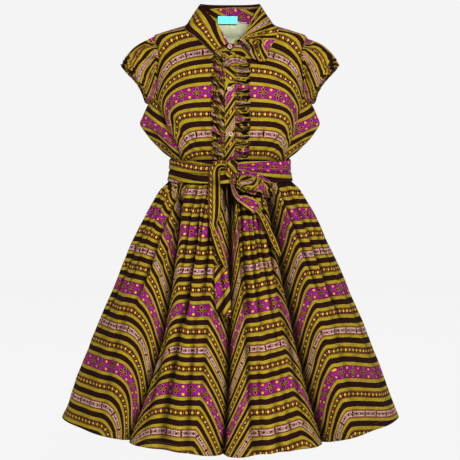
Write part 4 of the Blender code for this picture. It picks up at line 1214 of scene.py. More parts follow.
# ---------------------------------------------------------------- bodice
BODICE_CREASES = [
    Crease(-16, -0.285, -30, -0.200, 0.0060, 0.0030),
    Crease(-26, -0.296, -44, -0.225, 0.0055, 0.0036),
    Crease(-38, -0.290, -55, -0.200, 0.0070, 0.0034),
    Crease(-52, -0.160, -70, -0.235, 0.0060, 0.0030),
    Crease(-34, -0.130, -66, -0.110, 0.0080, 0.0022),
    Crease(-24, -0.085, -60, -0.050, 0.0090, 0.0016),
    Crease(-12, -0.298, -14, -0.262, 0.0040, 0.0020),
    Crease(-47, -0.302, -50, -0.270, 0.0040, -0.0016),
    Crease(14, -0.300, 17, -0.255, 0.0045, 0.0024),
    Crease(22, -0.296, 34, -0.215, 0.0060, 0.0034),
    Crease(33, -0.300, 52, -0.230, 0.0055, 0.0034),
    Crease(45, -0.296, 60, -0.240, 0.0050, 0.0026),
    Crease(50, -0.165, 71, -0.215, 0.0070, 0.0030),
    Crease(30, -0.140, 68, -0.105, 0.0080, 0.0020),
    Crease(26, -0.070, 62, -0.060, 0.0080, 0.0014),
    Crease(40, -0.302, 41, -0.272, 0.0040, -0.0016),
    Crease(76, -0.292, 86, -0.215, 0.0060, 0.0028),
    Crease(98, -0.294, 92, -0.235, 0.0050, 0.0024),
    Crease(-72, -0.290, -84, -0.220, 0.0060, 0.0028),
    Crease(-100, -0.292, -94, -0.228, 0.0055, 0.0026),
    Crease(122, -0.298, 138, -0.190, 0.0070, 0.0034),
    Crease(140, -0.296, 152, -0.220, 0.0060, 0.0032),
    Crease(158, -0.302, 163, -0.240, 0.0050, 0.0026),
    Crease(172, -0.300, 176, -0.250, 0.0045, 0.0022),
    Crease(187, -0.302, 190, -0.235, 0.0050, 0.0026),
    Crease(203, -0.298, 214, -0.205, 0.0065, 0.0034),
    Crease(222, -0.296, 240, -0.185, 0.0070, 0.0032),
    Crease(150, -0.120, 118, -0.095, 0.0080, 0.0022),
    Crease(206, -0.105, 238, -0.120, 0.0080, 0.0022),
    Crease(165, -0.050, 200, -0.046, 0.0090, 0.0014),
]
BODICE_RADIUS = 0.14  # at which its creases take their bearings
LOOSE_OVER = 0.02  # height above the sash over which its cloth comes free


def loose(z):
    """How free the bodice's cloth is at a height: not at all where it is sewn to the waist."""
    return ramp((z - SASH_TOP_Z) / LOOSE_OVER)


def worn_bodice(bearing, z, out=0.0):
    """The bodice's outer face with its creases."""
    moved = creased(bearing, z, BODICE_CREASES, BODICE_RADIUS)
    moved = moved + rippled(bearing, z, seed=3, height=0.0012, size=0.06)
    return bodice(bearing, z, out + moved * loose(z))


FINE_UPS = np.linspace(0, 1, 121)
FINE_SIDE_UPS = FINE_UPS[FINE_UPS <= ARMHOLE_FOOT_UP + 1e-9]
FRONT_COLUMNS, SIDE_COLUMNS, BACK_COLUMNS = 91, 61, 71
PANEL_WIDTH = 0.17  # of half a front or back, near enough to tell how far a seam is
SIDE_WIDTH = 0.10  # and of a side panel
NECK_SLIP = 0.085  # turns by which the print lies higher in the opening of the neck
NECK_SLIP_X, NECK_SLIP_HALF = 0.004, 0.034
NECK_SLIP_Z, NECK_SLIP_OVER = -0.076, 0.008


def seam_roll(away, depth=0.0012, width=0.0035):
    """How far the cloth dips at a seam that is this many metres away."""
    return -depth * bell(away, width)


def bodice_front(side, sign):
    along, up = pairs(np.linspace(0, 1, FRONT_COLUMNS)[::sign], FINE_UPS[::-1])
    bearing, z = panel_point(along, up, FRONT_EDGE_BEARING, NECK_FRONT_Z, sign)
    from_seam = (1 - along) * PANEL_WIDTH
    points = worn_bodice(bearing, z, seam_roll(from_seam) * loose(z))
    middle = 0 if sign > 0 else -1
    in_neck = bell(points[..., 0] - NECK_SLIP_X, NECK_SLIP_HALF, 6)
    in_neck = in_neck * ramp((z - NECK_SLIP_Z) / NECK_SLIP_OVER)
    turns = bodice_turns(bearing, z) + NECK_SLIP * in_neck
    cloth(f"bodice_front_{side}", points, cloth_map(points, turns, 0, middle), held="draped")


def bodice_side(side, sign):
    across, up = pairs(np.linspace(0, 1, SIDE_COLUMNS)[::sign], FINE_SIDE_UPS[::-1])
    edge_z = EDGE_AT["z"](up)
    low = EDGE_AT["z"](SASH_UP)
    drop = ARMHOLE_FOOT_Z - underarm_z(90.0 - UNDERARM_REACH * (1 - 2 * across))
    z = edge_z - drop * np.clip((edge_z - low) / (ARMHOLE_FOOT_Z - low), 0, 1)
    front = side_seam(sign * FRONT_QUARTER, edge_z) + SEAM_TURN
    back = side_seam(sign * BACK_QUARTER, edge_z) - SEAM_TURN
    bearing = sign * (front + (back - front) * across)
    from_seam = np.minimum(across, 1 - across) * SIDE_WIDTH
    points = worn_bodice(bearing, z, seam_roll(from_seam) * loose(z))
    cloth(f"bodice_side_{side}", points, cloth_map(points, side_turns(bearing, z)), held="draped")


def bodice_back():
    halves = []
    for sign in (1, -1):
        along, up = pairs(np.linspace(1, 0, BACK_COLUMNS)[::sign], FINE_UPS[::-1])
        bearing, z = panel_point(along, up, 180.0, NECK_BACK_Z, sign)
        points = worn_bodice(bearing, z, seam_roll((1 - along) * PANEL_WIDTH) * loose(z))
        halves.append(np.concatenate([points, bodice_turns(bearing, z)[..., None]], axis=-1))
    both = np.concatenate([halves[0], halves[1][1:]])
    points, turns = both[..., :3], both[..., 3]
    cloth("bodice_back", points, cloth_map(points, turns), held="draped", inside=LINING)


# ---------------------------------------------------------------- sleeves
FINE_SLEEVE_COLUMNS = 240
FINE_SLEEVE_ROWS = 60
SEAM_TUCK = 0.0022  # how far the head of the sleeve goes in under the armhole's edge
SLEEVE_SLACK = 0.62  # share of the solid's puff that the worn sleeve has
PUFF_LOWER = 1.15  # over 1, the puff is fullest below the middle
CUFF_AT = 0.97  # share of the way down where the elastic draws the cuff in
CUFF_DRAWN, CUFF_DRAWN_OVER = 0.0022, 0.06
CUFF_HOLLOW = 0.0095  # how far the cuff's line bends in toward the armhole
SLEEVE_FOLDS = 76
FROM_HEAD = 0.4  # share of them that run down from the armhole; the others run up from the cuff
HEAD_FREE = 0.05  # share of the way down in which the folds grow from the armhole's seam
TOOTH_HEIGHT = 0.0042
TOOTH_PAINTED_SHADE = 0.0034  # painted shade between the cuff's teeth, as extra depth that darkens its colour in places
SLEEVE_TOP_TURNS = {"right": 0.165, "left": 0.120}  # of the print, at the top of the sleeve
SLEEVE_FULLNESS = 1.24  # its cloth over its girth
LEAST_GIRTH = 0.30  # that the print counts with where the sleeve is narrower
# How far the stripes slant down the sleeve, in metres: at its top, and how much more beside it.
SLEEVE_SLANT = {"right": (0.028, 0.022), "left": (0.022, 0.036)}


def sleeve_folds(at, down, sign):
    """The folds that a sleeve's two gathered edges send into its cloth."""
    chance = np.random.default_rng(40 + sign)
    folds = 0.0
    for _ in range(SLEEVE_FOLDS):
        middle = chance.uniform(0, 2 * math.pi)
        width = chance.uniform(0.030, 0.075)
        lean = chance.uniform(-0.22, 0.22)
        depth = chance.uniform(0.0016, 0.0048)
        share = down if chance.random() < FROM_HEAD else 1 - down
        reach = chance.uniform(0.25, 0.65)
        gap = (at + lean * down - middle + math.pi) % (2 * math.pi) - math.pi
        strength = np.clip(1 - share / reach, 0, 1) ** 1.3 * np.minimum(share / 0.04, 1)
        folds = folds - depth * bell(gap, width) * strength
    return folds


def cuff_teeth(at, down):
    """The small uneven folds that the elastic makes in the cuff, and the creases across them."""
    teeth = np.abs(np.cos(19 * at + 1.6 * np.sin(5 * at) + 2.0 * np.sin(2 * at + down))) ** 0.7
    teeth = TOOTH_HEIGHT * (teeth - 1) * bell(down - 1, 0.20)
    return teeth + 0.0014 * np.cos(down * 70 + 6 * np.sin(3 * at)) * bell(down - 0.9, 0.12)


def sleeve_turns(side, sign, points, down):
    """Turns of the print on a sleeve: its stripes run down it, aslant and a little astray."""
    round_it = np.linspace(-1, 1, FINE_SLEEVE_COLUMNS + 1)[:, None]
    girth = np.linalg.norm(np.diff(points, axis=0), axis=-1).sum(axis=0)
    from_top = np.abs(round_it) * np.maximum(girth, LEAST_GIRTH) / 2
    at_top, beside = SLEEVE_SLANT[side]
    slant = at_top + beside * ramp((from_top - 0.012) / 0.045)
    turns = SLEEVE_TOP_TURNS[side] + SLEEVE_FULLNESS * (from_top - slant * down) / REPEAT
    turns = turns + 0.06 * (down - 0.5) * (round_it < 0)
    wander = np.sin(from_top * 95 + 3.0 * down + sign) * np.sin(math.pi * down)
    crumple = np.sin(from_top * 240 + 5 * np.sin(down * 8)) * down**4
    caught = bell(down, 0.16) * bell(from_top - 0.018, 0.020)
    return turns + 0.014 * wander + 0.035 * crumple - 0.24 * caught


def from_underarm(values):
    """Values round a sleeve, from its seam under the arm right round to that seam again."""
    values = np.roll(values, FINE_SLEEVE_COLUMNS // 2, axis=0)
    return np.concatenate([values, values[:1]])


def sleeve(side, sign):
    """A puffed sleeve from its armhole to the slanted oval of its cuff."""
    flip = np.array([sign, 1.0, 1.0])
    centre = (CUFF_TOP + CUFF_FOOT) / 2 * flip
    rise = (CUFF_TOP - CUFF_FOOT) / 2 * flip
    outward = np.cross([0.0, 1.0, 0.0], rise) * sign
    outward /= np.linalg.norm(outward)
    at = np.linspace(0, 2 * math.pi, FINE_SLEEVE_COLUMNS, endpoint=False)[:, None]
    down = np.linspace(0, 1, FINE_SLEEVE_ROWS)
    spoke = rise * np.cos(at) + np.array([0, -CUFF_HALF_DEPTH, 0]) * np.sin(at)
    away = spoke / np.linalg.norm(spoke, axis=1, keepdims=True)
    root = evenly(armhole(sign), FINE_SLEEVE_COLUMNS)
    start = root + SLEEVE_START * outward
    bend = CUFF_HOLLOW * np.sin(math.pi * (0.5 - 0.5 * np.cos(at)) ** 1.5)
    cuff = centre + spoke - bend * outward
    path = start[:, None] + (cuff - start)[:, None] * down[None, :, None]
    puff = SLEEVE_PUFF * (1 - CAP_PUFF + CAP_PUFF * np.cos(at)) * np.sin(math.pi * down**PUFF_LOWER)
    elastic = -CUFF_DRAWN * bell(down - CUFF_AT, CUFF_DRAWN_OVER)
    gathered = sleeve_folds(at, down, sign) + elastic + cuff_teeth(at, down)
    lift = puff * SLEEVE_SLACK + gathered * ramp(down / HEAD_FREE)
    points = path + away[:, None] * lift[..., None]
    points[:, 0] = root - SEAM_TUCK * (outward + away)
    points = from_underarm(points)
    fabric = cloth_map(points, sleeve_turns(side, sign, points, down), 1, 0)
    # Painted shade in the dents between the cuff's teeth.
    painted_dent_shade = np.abs(np.cos(37 * at + 2 * np.sin(7 * at))) ** 3 * bell(down - 1, 0.16)
    order = slice(None, None, -sign)
    finish = {"closed": True, "sunk": from_underarm(TOOTH_PAINTED_SHADE * painted_dent_shade)[order]}
    cloth(f"sleeve_{side}", points[order], fabric[order], held="gathered", **finish)


# ---------------------------------------------------------------- collar
WHITE_TURNS = 0.5  # the middle of the white band
LEAF_CORNER = (0.0236, -0.0320)  # x and z of the place where the crease meets the fold
LEAF_START, LEAF_OVER = 0.60, 0.12  # where round the collar its print starts to fan, and how soon
LEAF_TURNS = 0.64  # turns of the print from the fold to the edge of the left leaf
FAN_RATE = 0.0115  # turns for each degree round the corner
FAN_MIDDLE = 33.0  # where in that fan the white band's middle is
COLLAR_EDGE_TURNS = 0.42


def leaf_turns(place, down, points):
    """Turns of the print on the collar: along its edge, but fanned over the crease at its left end."""
    fold_turns = 0.03 + 0.11 * ramp(place / 0.22)
    along = fold_turns + (COLLAR_EDGE_TURNS - fold_turns) * down
    crease = 0.985 - 0.08 * down
    inner = np.clip((place - crease) / (1.001 - crease), 0, 1)
    low = WHITE_TURNS + LEAF_TURNS * down * (1 - inner)
    angle = np.degrees(np.arctan2(points[..., 2] - LEAF_CORNER[1], points[..., 0] - LEAF_CORNER[0]))
    fan = WHITE_TURNS + FAN_RATE * (FAN_MIDDLE - np.clip(angle, -20.0, 75.0))
    high = fan + (WHITE_TURNS + LEAF_TURNS * down - fan) * ramp(-angle / 13.0)
    fanned = np.where(place > crease, low, high)
    return along + (fanned - along) * ramp((place - LEAF_START) / LEAF_OVER)

STITCHED_SHARE = 0.90  # share of the way to the collar's edge where its row of stitches runs


def collar_fall():
    place, down = grid_of("collar_fall", (0, 1), (0, 1))
    at = {name: curve(place) for name, curve in LEAF_AT.items()}
    fold = placed(at["fold_radius"], at["fold"], at["fold_z"])
    edge_bearing = (at["edge"] + 180.0) % 360.0 - 180.0
    edge = bodice(edge_bearing, at["edge_z"], at["lift"])
    points = fold + (edge - fold) * down[..., None]
    ridge = bell(down - CREASE_SHARE, CREASE_SHARE_WIDTH)
    crease = LEAF_CREASE * ramp((place - CREASE_START) / CREASE_GROWTH) * ridge
    roll = at["roll"] * np.sin(math.pi * down)
    wave = 0.0007 * np.sin(place * 61 + 3 * down) * down + 0.0005 * np.sin(place * 23 + 1)
    stitched = -0.0004 * bell(down - STITCHED_SHARE, 0.03)
    out = roll + crease + wave * np.sin(math.pi * down) + stitched
    turn = np.radians(at["edge"])
    lift = np.stack([np.sin(turn) * out, -np.cos(turn) * out, ROLL_RISE * roll], axis=-1)
    points = points + lift
    fanned = ramp((place - LEAF_START) / LEAF_OVER)
    fabric = small_map(points, leaf_turns(place, down, points), fanned)
    cloth("collar_fall", points, fabric, held="folded")
    return points


STAND_FOOT = -0.10  # how far the stand goes on under the neckline, as a share of its height
STAND_FRONT_X, STAND_FRONT_RATE = -0.004, 6.0  # its flowered band in front, and turns for a metre
STAND_BACK_Z, STAND_BACK_SLANT = 0.039, 0.54  # and at the back
STAND_BACK_Y, STAND_BACK_OVER = -0.055, 0.03  # where the one gives way to the other
BOUND_UP, BOUND_OVER, BOUND_TURNS = 0.80, 0.06, 1.15  # the binding round its top


def collar_stand():
    place, up = grid_of("collar_stand", (0, 1), (1, STAND_FOOT))
    points = stand_point(place, up, 0.0003 * np.sin(place * 70) * up)
    x, z = points[..., 0], points[..., 2]
    front = 1.0 + STAND_FRONT_RATE * (x - STAND_FRONT_X)
    back = 1.0 - (z + STAND_BACK_SLANT * x - STAND_BACK_Z) / REPEAT
    toward = ramp((points[..., 1] - STAND_BACK_Y) / STAND_BACK_OVER)
    turns = front + (back - front) * toward
    bound = ramp((up - BOUND_UP) / BOUND_OVER) * toward
    turns = turns + (BOUND_TURNS - turns) * bound
    cloth("collar_stand", points, small_map(points, turns, 0.0), held="folded")


LABEL_WIDTH = 0.050
LABEL_HEIGHT = 0.0175
LABEL_TOP_Z = 0.0265
LABEL_ROUND = -0.006  # its middle from the centre back, along the stand
LABEL_WALL = 0.001
LABEL_IN = CLOTH + 0.0012


def neck_label():
    """A bare woven label sewn to the inside of the stand at the centre back."""
    share, z = grid_of("neck_label", (0.5, -0.5), (LABEL_TOP_Z, LABEL_TOP_Z - LABEL_HEIGHT))
    radius_here = LEAF_AT["fold_radius"](0.5) - STAND_INSET
    turn = np.degrees((LABEL_ROUND - share * LABEL_WIDTH) / radius_here)
    bow = 0.0004 * np.sin(7 * share) * (LABEL_TOP_Z - z) / LABEL_HEIGHT
    points = stand(-180.0 - turn, z, -LABEL_IN + bow)
    fabric = np.stack([share * LABEL_WIDTH, z], axis=-1)
    finish = {"material": LABEL_BLUE, "slot": "label", "wall": LABEL_WALL}
    cloth("neck_label", points, fabric, held="hung", **finish)


# ---------------------------------------------------------------- skirt
GATHER_COUNT = 150
GATHER_TOP_Z = -0.335  # under the sash
GATHER_FOOT_Z = -0.352  # where the shortest of them would end


def waist_gathers():
    """Uneven gathers that start under the sash and run down different lengths."""
    chance = np.random.default_rng(11)
    rows = []
    for k in range(GATHER_COUNT):
        bearing = -180.0 + 360.0 * (k + chance.uniform(-0.45, 0.45)) / GATHER_COUNT
        length = 0.03 + 0.20 * chance.random() ** 2.4
        width = chance.uniform(0.0016, 0.0032)
        depth = chance.uniform(0.0016, 0.0052)
        spread = bearing * 0.03 + chance.uniform(-1.2, 1.2)
        foot = GATHER_FOOT_Z - length
        rows.append(Crease(bearing, GATHER_TOP_Z, bearing + spread, foot, width, depth))
    return rows


GATHER_FOLDS = waist_gathers()
SKIRT_CREASES = [
    Crease(-1.0, -0.335, 0.5, -0.440, 0.0070, 0.0100),
    Crease(-6.5, -0.335, -5.0, -0.430, 0.0058, 0.0100),
    Crease(4.0, -0.335, 4.0, -0.420, 0.0058, 0.0100),
    Crease(-38.0, -0.345, -37.0, -0.560, 0.0054, 0.0075),
    Crease(-31.0, -0.340, -29.0, -0.660, 0.0080, 0.0140),
    Crease(-26.5, -0.345, -25.0, -0.520, 0.0045, 0.0080),
    Crease(-19.5, -0.345, -18.0, -0.600, 0.0058, 0.0088),
    Crease(-13.0, -0.345, -13.5, -0.500, 0.0048, 0.0063),
    Crease(-31.0, -0.560, -33.5, -0.905, 0.0085, 0.0062),
    Crease(-22.0, -0.600, -21.0, -0.925, 0.0065, 0.0050),
    Crease(-15.0, -0.560, -14.0, -0.880, 0.0090, 0.0050),
    Crease(-42.0, -0.620, -43.0, -0.925, 0.0100, 0.0052),
    Crease(3.0, -0.345, 5.0, -0.520, 0.0048, 0.0075),
    Crease(8.5, -0.345, 9.5, -0.640, 0.0064, 0.0106),
    Crease(12.0, -0.340, 13.0, -0.640, 0.0080, 0.0140),
    Crease(18.0, -0.340, 19.5, -0.680, 0.0080, 0.0140),
    Crease(21.8, -0.345, 23.5, -0.560, 0.0048, 0.0085),
    Crease(26.0, -0.345, 28.0, -0.700, 0.0064, 0.0088),
    Crease(33.0, -0.345, 35.0, -0.560, 0.0051, 0.0069),
    Crease(10.0, -0.600, 10.5, -0.925, 0.0075, 0.0060),
    Crease(16.5, -0.640, 15.5, -0.925, 0.0050, 0.0050),
    Crease(27.5, -0.660, 29.5, -0.925, 0.0080, 0.0060),
    Crease(37.0, -0.620, 39.0, -0.925, 0.0090, 0.0052),
    Crease(57.0, -0.345, 61.0, -0.620, 0.0064, 0.0088),
    Crease(67.0, -0.345, 70.0, -0.680, 0.0080, 0.0100),
    Crease(77.0, -0.345, 79.0, -0.560, 0.0064, 0.0075),
    Crease(64.0, -0.560, 66.0, -0.925, 0.0110, 0.0060),
    Crease(82.0, -0.500, 84.0, -0.925, 0.0130, 0.0070),
    Crease(90.0, -0.345, 93.0, -0.700, 0.0080, 0.0100),
    Crease(101.0, -0.345, 103.0, -0.620, 0.0064, 0.0088),
    Crease(112.0, -0.460, 113.0, -0.925, 0.0120, 0.0070),
    Crease(119.0, -0.345, 120.0, -0.600, 0.0064, 0.0081),
    Crease(-60.0, -0.345, -62.0, -0.640, 0.0072, 0.0088),
    Crease(-70.0, -0.345, -71.0, -0.600, 0.0064, 0.0088),
    Crease(-66.0, -0.560, -68.0, -0.925, 0.0110, 0.0062),
    Crease(-80.0, -0.345, -82.0, -0.700, 0.0088, 0.0106),
    Crease(-90.0, -0.500, -91.0, -0.925, 0.0120, 0.0064),
    Crease(-97.0, -0.345, -99.0, -0.620, 0.0072, 0.0088),
    Crease(-108.0, -0.440, -110.0, -0.925, 0.0120, 0.0070),
    Crease(-116.0, -0.345, -117.0, -0.600, 0.0064, 0.0081),
    Crease(-122.0, -0.540, -123.0, -0.925, 0.0100, 0.0052),
    Crease(139.0, -0.345, 140.0, -0.620, 0.0064, 0.0088),
    Crease(147.0, -0.345, 147.0, -0.720, 0.0080, 0.0106),
    Crease(157.0, -0.440, 157.0, -0.925, 0.0110, 0.0066),
    Crease(164.0, -0.345, 164.0, -0.580, 0.0058, 0.0075),
    Crease(171.0, -0.345, 171.0, -0.660, 0.0067, 0.0094),
    Crease(187.0, -0.345, 187.0, -0.600, 0.0061, 0.0081),
    Crease(194.0, -0.345, 195.0, -0.700, 0.0077, 0.0106),
    Crease(204.0, -0.460, 204.0, -0.925, 0.0120, 0.0068),
    Crease(211.0, -0.345, 212.0, -0.620, 0.0064, 0.0085),
    Crease(220.0, -0.345, 221.0, -0.560, 0.0058, 0.0072),
]
SKIRT_RADIUS = 0.22  # at which its creases take their bearings
GATHER_RADIUS = 0.145  # and its gathers
FINE_DOWNS = np.concatenate([np.linspace(0, 0.2, 43)[:-1], np.linspace(0.2, 1, 96)])
HEM_TURN_UP = 0.014  # height of the hem's fold


def worn_skirt(bearing, z, out=0.0):
    """The skirt's outer face with its folds, gathers and hem."""
    moved = creased(bearing, z, SKIRT_CREASES, SKIRT_RADIUS)
    under_sash = ramp((SASH_FOOT_Z - z + 0.004) / 0.012)
    moved = moved + creased(bearing, z, GATHER_FOLDS, GATHER_RADIUS) * under_sash
    free = ramp((SASH_FOOT_Z - z) / 0.10)
    moved = moved + rippled(bearing, z, seed=5, height=0.0030, size=0.17) * free
    moved = moved + rippled(bearing, z, seed=8, height=0.0008, size=0.05) * free
    return skirt(bearing, z, out + moved)


# Where the gathered cloth slips a little up or down across a fold: turns of the print. The slips
# of each run of folds come to nothing together, so the stripes stay level over a panel.
Jog = namedtuple("Jog", "bearing slip")
SLIPS = (0.008, -0.014, 0.012, -0.006, 0.012, -0.016, 0.010, -0.006)
JOG_WIDTH = 0.7  # degrees over which the print slips
JOG_REACH = 40.0  # and in which the slip is felt
JOG_FADE_Z, JOG_FADE_OVER = -0.78, 0.30
LOW_FOLD_Z = -0.35  # the print slips at the folds that start above this


def fold_slips():
    rows = [row for row in SKIRT_CREASES if row.z > LOW_FOLD_Z]
    return [Jog(row.bearing, SLIPS[k % len(SLIPS)]) for k, row in enumerate(rows)]


JOGS = fold_slips()


def jogged(bearing, z):
    """How far the print has slipped at a place, in turns."""
    moved = 0.0 * bearing
    for jog in JOGS:
        away = turn_between(bearing, jog.bearing)
        moved = moved + jog.slip / 2 * np.tanh(away / JOG_WIDTH) * bell(away, JOG_REACH, 4)
    return moved * ramp((z - JOG_FADE_Z) / JOG_FADE_OVER)


GORE_COLUMNS = {"front": 111, "side": 141, "back": 101}
HEM_STEP = 0.0006  # how far the doubled cloth of the hem stands out, and its stitches draw it in
SEAM_LAP = 4.0  # how far a panel goes in under the next one, in halves of the seam's gap
LAP_DEPTH, LAP_WIDTH, LAP_EASE = 0.0016, 0.006, 0.004  # how its lapped edge sinks
SEAM_DIP, SEAM_DIP_WIDTH = 0.0095, 0.0110  # how the cloth rolls in at a seam
# Painted shade, given as extra depth that the cloth counts as lying at so that its colour is darkened: by
# its seams, at the seam that lies in the deepest fold, of which each panel beside it has one end, and a
# painted shadow below the knot.
SEAM_PAINTED_SHADE = 0.0060
SHADY_END = {"skirt_front_left": 1, "skirt_side_left": 0}
SHADY_PAINTED_SHADE, SHADY_WIDTH = 0.0015, 0.060
KNOT_PAINTED_SHADOW, KNOT_SHADOW_HALF = 0.0075, 0.020
KNOT_SHADOW_FADE_Z, KNOT_SHADOW_FADE_OVER = -0.430, 0.07


def gore(name):
    """One skirt panel between two of skirt_seams(), viewer's left to right.

    A side panel's middle column lies on the side line.
    """
    panel, kind = PANELS[name], name.split("_")[1]
    share, down = pairs(np.linspace(0, 1, GORE_COLUMNS[kind]), FINE_DOWNS)
    top = WAIST_Z - SEAM_GAP
    even = top + (HEM_Z - top) * down
    radius = FLARE_AT["side"](even)
    first, last = skirt_seams(even)[panel.start], skirt_seams(even)[panel.end]
    if first.max() > last.max():
        first = first - 360.0
    gap = np.degrees(SEAM_GAP / 2 / radius)
    first, last = first - gap, last + SEAM_LAP * gap
    bearing = first + (last - first) * share
    if kind == "side":
        before = first + (panel.middle - first) * 2 * share
        after = panel.middle + (last - panel.middle) * (2 * share - 1)
        bearing = np.where(share < 0.5, before, after)
    low = hem_z(bearing)
    z = top + (low - top) * down
    from_fold = z - low - HEM_TURN_UP
    hem = HEM_STEP * ramp((0.001 - from_fold) / 0.001) - HEM_STEP * bell(from_fold, 0.0016)
    width = np.radians(last - first) * radius
    from_seam = np.minimum(share, 1 - share) * width
    grown = ramp((SASH_FOOT_Z - z) / 0.06)
    under = -LAP_DEPTH * ramp((LAP_WIDTH - (1 - share) * width) / LAP_EASE)
    rolled = seam_roll(from_seam, SEAM_DIP, SEAM_DIP_WIDTH) * grown
    points = worn_skirt(bearing, z, hem + under + rolled)
    turns = skirt_turns(name, bearing, z) + jogged(bearing, z)
    middle = int(np.argmin(np.abs(turn_between(bearing[:, -1], panel.middle))))
    # Painted shade along the seams and over the shady end, and a painted shadow under the knot, passed to
    # the cloth as sunk.
    sunk = SEAM_PAINTED_SHADE * bell(from_seam, SEAM_DIP_WIDTH, 1.3) * grown
    if name in SHADY_END:
        from_end = np.abs(SHADY_END[name] - share) * width
        sunk = sunk + SHADY_PAINTED_SHADE * bell(from_end, SHADY_WIDTH) * grown
    centre = bell(points[..., 0], KNOT_SHADOW_HALF) * (points[..., 1] < 0)
    sunk = sunk + KNOT_PAINTED_SHADOW * centre * ramp((z - KNOT_SHADOW_FADE_Z) / KNOT_SHADOW_FADE_OVER)
    cloth(name, points, cloth_map(points, turns, 0, middle), held="gathered", sunk=sunk)


# ---------------------------------------------------------------- placket and ruffles
PLACKET_HALF = 0.0115
PLACKET_TOP_Z = -0.062
PLACKET_OUT = CLOTH + 0.0014
PLACKET_SLANT = 1.5  # of its stripes below the upper button, as a fall over a width
PLACKET_TURN, PLACKET_TURN_Z = 2.3, -0.142  # how much less above it, and from where
PLACKET_TURNS, PLACKET_TURNS_Z = 0.60, -0.10  # turns of the print at a height of its middle line
PLACKET_FULLNESS = 1.3
RUFFLE_OUT = CLOTH + 0.0010
RUFFLE_WIDTH = 0.031
RIGHT_RUFFLE_WIDTH = 0.0262
RUFFLE_IN = PLACKET_HALF + SEAM_GAP
RUFFLE_FOOT_Z = SASH_TOP_Z + 0.005
RUFFLE_WAVE = 0.0172  # length of one wave, down the dress
RUFFLE_PAINTED_SHADE = 0.0009  # painted shade: extra depth that darkens the ruffle's colour all over
RUFFLE_DEPTH = 0.0056
RUFFLE_SEWN = 0.25  # how deep the waves are at the sewn edge, as a share of the free edge's
ARCH_X = 0.0130  # centre of the arch in which the left ruffle crosses above the placket
ARCH_Z = -0.0945
ARCH_WIDTH = 0.0275
ARCH_RINGS = (0.0112, -0.1055)  # x and z of the point its stripes go round
ARCH_OUT = 0.0052
ARCH_EASE = 0.55  # angle of the arch over which it narrows and rises
RIGHT_RUFFLE_TOP_Z = -0.0630
RUFFLE_FULLNESS = 2.7  # length of a ruffle's cloth over the length it is gathered to
RUFFLE_CREASES = 84
RUFFLE_HIGHEST = 1.15  # its highest waves over its usual ones
RUFFLE_FRILL = 0.0020  # how unevenly wide it is
RUFFLE_SWAY = 0.0016  # how far its waves sway up and down the dress
TINY_WAVE = 0.0008
CREASE_LOWEST = -0.0016  # how far its creases may sink, besides a share of its wave
ARCH_FLATNESS = 0.65  # how much lower its waves are on the arch
ARCH_FLAT_OVER = 0.01
ARCH_TURNS, ARCH_RADIUS, ARCH_FULLNESS = 1.5, 0.0242, 1.3  # its print round ARCH_RINGS
ARCH_BOW = 0.05  # turns by which the stripes bow up the left ruffle
RUFFLE_WIDE = 22  # columns of its grid in each wave
RUFFLE_HIGH = 23  # and its rows
ARCH_PRINT_EASE = 0.5  # angle of the arch over which its print turns
ROW_IN = 0.0022  # a row of stitches from the edge it runs along


def placket():
    ends = (PLACKET_TOP_Z, WAIST_Z + SEAM_GAP)
    x, z = grid_of("placket", (-PLACKET_HALF, PLACKET_HALF), ends)
    stitched = -0.0003 * bell(np.abs(x) - PLACKET_HALF + ROW_IN, 0.0006)
    points = in_front(bodice, x, z, PLACKET_OUT + stitched + 0.0003 * np.sin(z * 160 + x * 90))
    slant = PLACKET_SLANT - PLACKET_TURN * ramp((z - PLACKET_TURN_Z) / 0.02)
    turns = PLACKET_TURNS - PLACKET_FULLNESS * (z - PLACKET_TURNS_Z - slant * x) / REPEAT
    cloth("placket", points, small_map(points, turns, 0.0), held="folded")


def ruffle_creases(run, share, whole, sign):
    """Sharp little creases that cross a ruffle, and how far its print slips at them."""
    chance = np.random.default_rng(60 + sign)
    small, slip = 0.0, 0.0
    for _ in range(RUFFLE_CREASES):
        place, to = chance.uniform(0, whole), chance.uniform(0, 1)
        slope = (chance.uniform(0.2, 1.7) if sign < 0 else chance.uniform(-0.5, 0.5)) * RUFFLE_WIDTH
        off = (run - place - slope * (share - to)) / chance.uniform(0.0012, 0.0026)
        spread = bell(share - to, chance.uniform(0.18, 0.45))
        small = small - chance.uniform(0.0010, 0.0034) * bell(off) * spread
        slip = slip + chance.uniform(-0.08, 0.08) * np.tanh(off * 1.6) * bell(off, 5) * spread
    return small, slip


def ruffle_waves(along, share, waves, sign):
    """Height of a ruffle's waves, uneven and swung aslant, and how far through its wave it is."""
    swell = RUFFLE_SEWN + (1 - RUFFLE_SEWN) * share**1.2
    uneven = 1 + 0.22 * np.sin(along * 29 + 2 * sign) + 0.15 * np.sin(along * 71)
    bowed = 1 - (2 * share - 1) ** 2
    swung = -3.2 * share if sign < 0 else 0.5 * share + 1.3 * bowed
    phase = 2 * math.pi * waves * along + 0.9 * np.sin(along * 37 + sign)
    phase = phase + swung + 0.5 * np.sin(share * 5 + along * 83)
    hump = 2 - 2 * np.abs(np.cos(phase / 2)) ** 3
    return RUFFLE_DEPTH * swell * np.minimum(uneven, RUFFLE_HIGHEST) * hump, phase


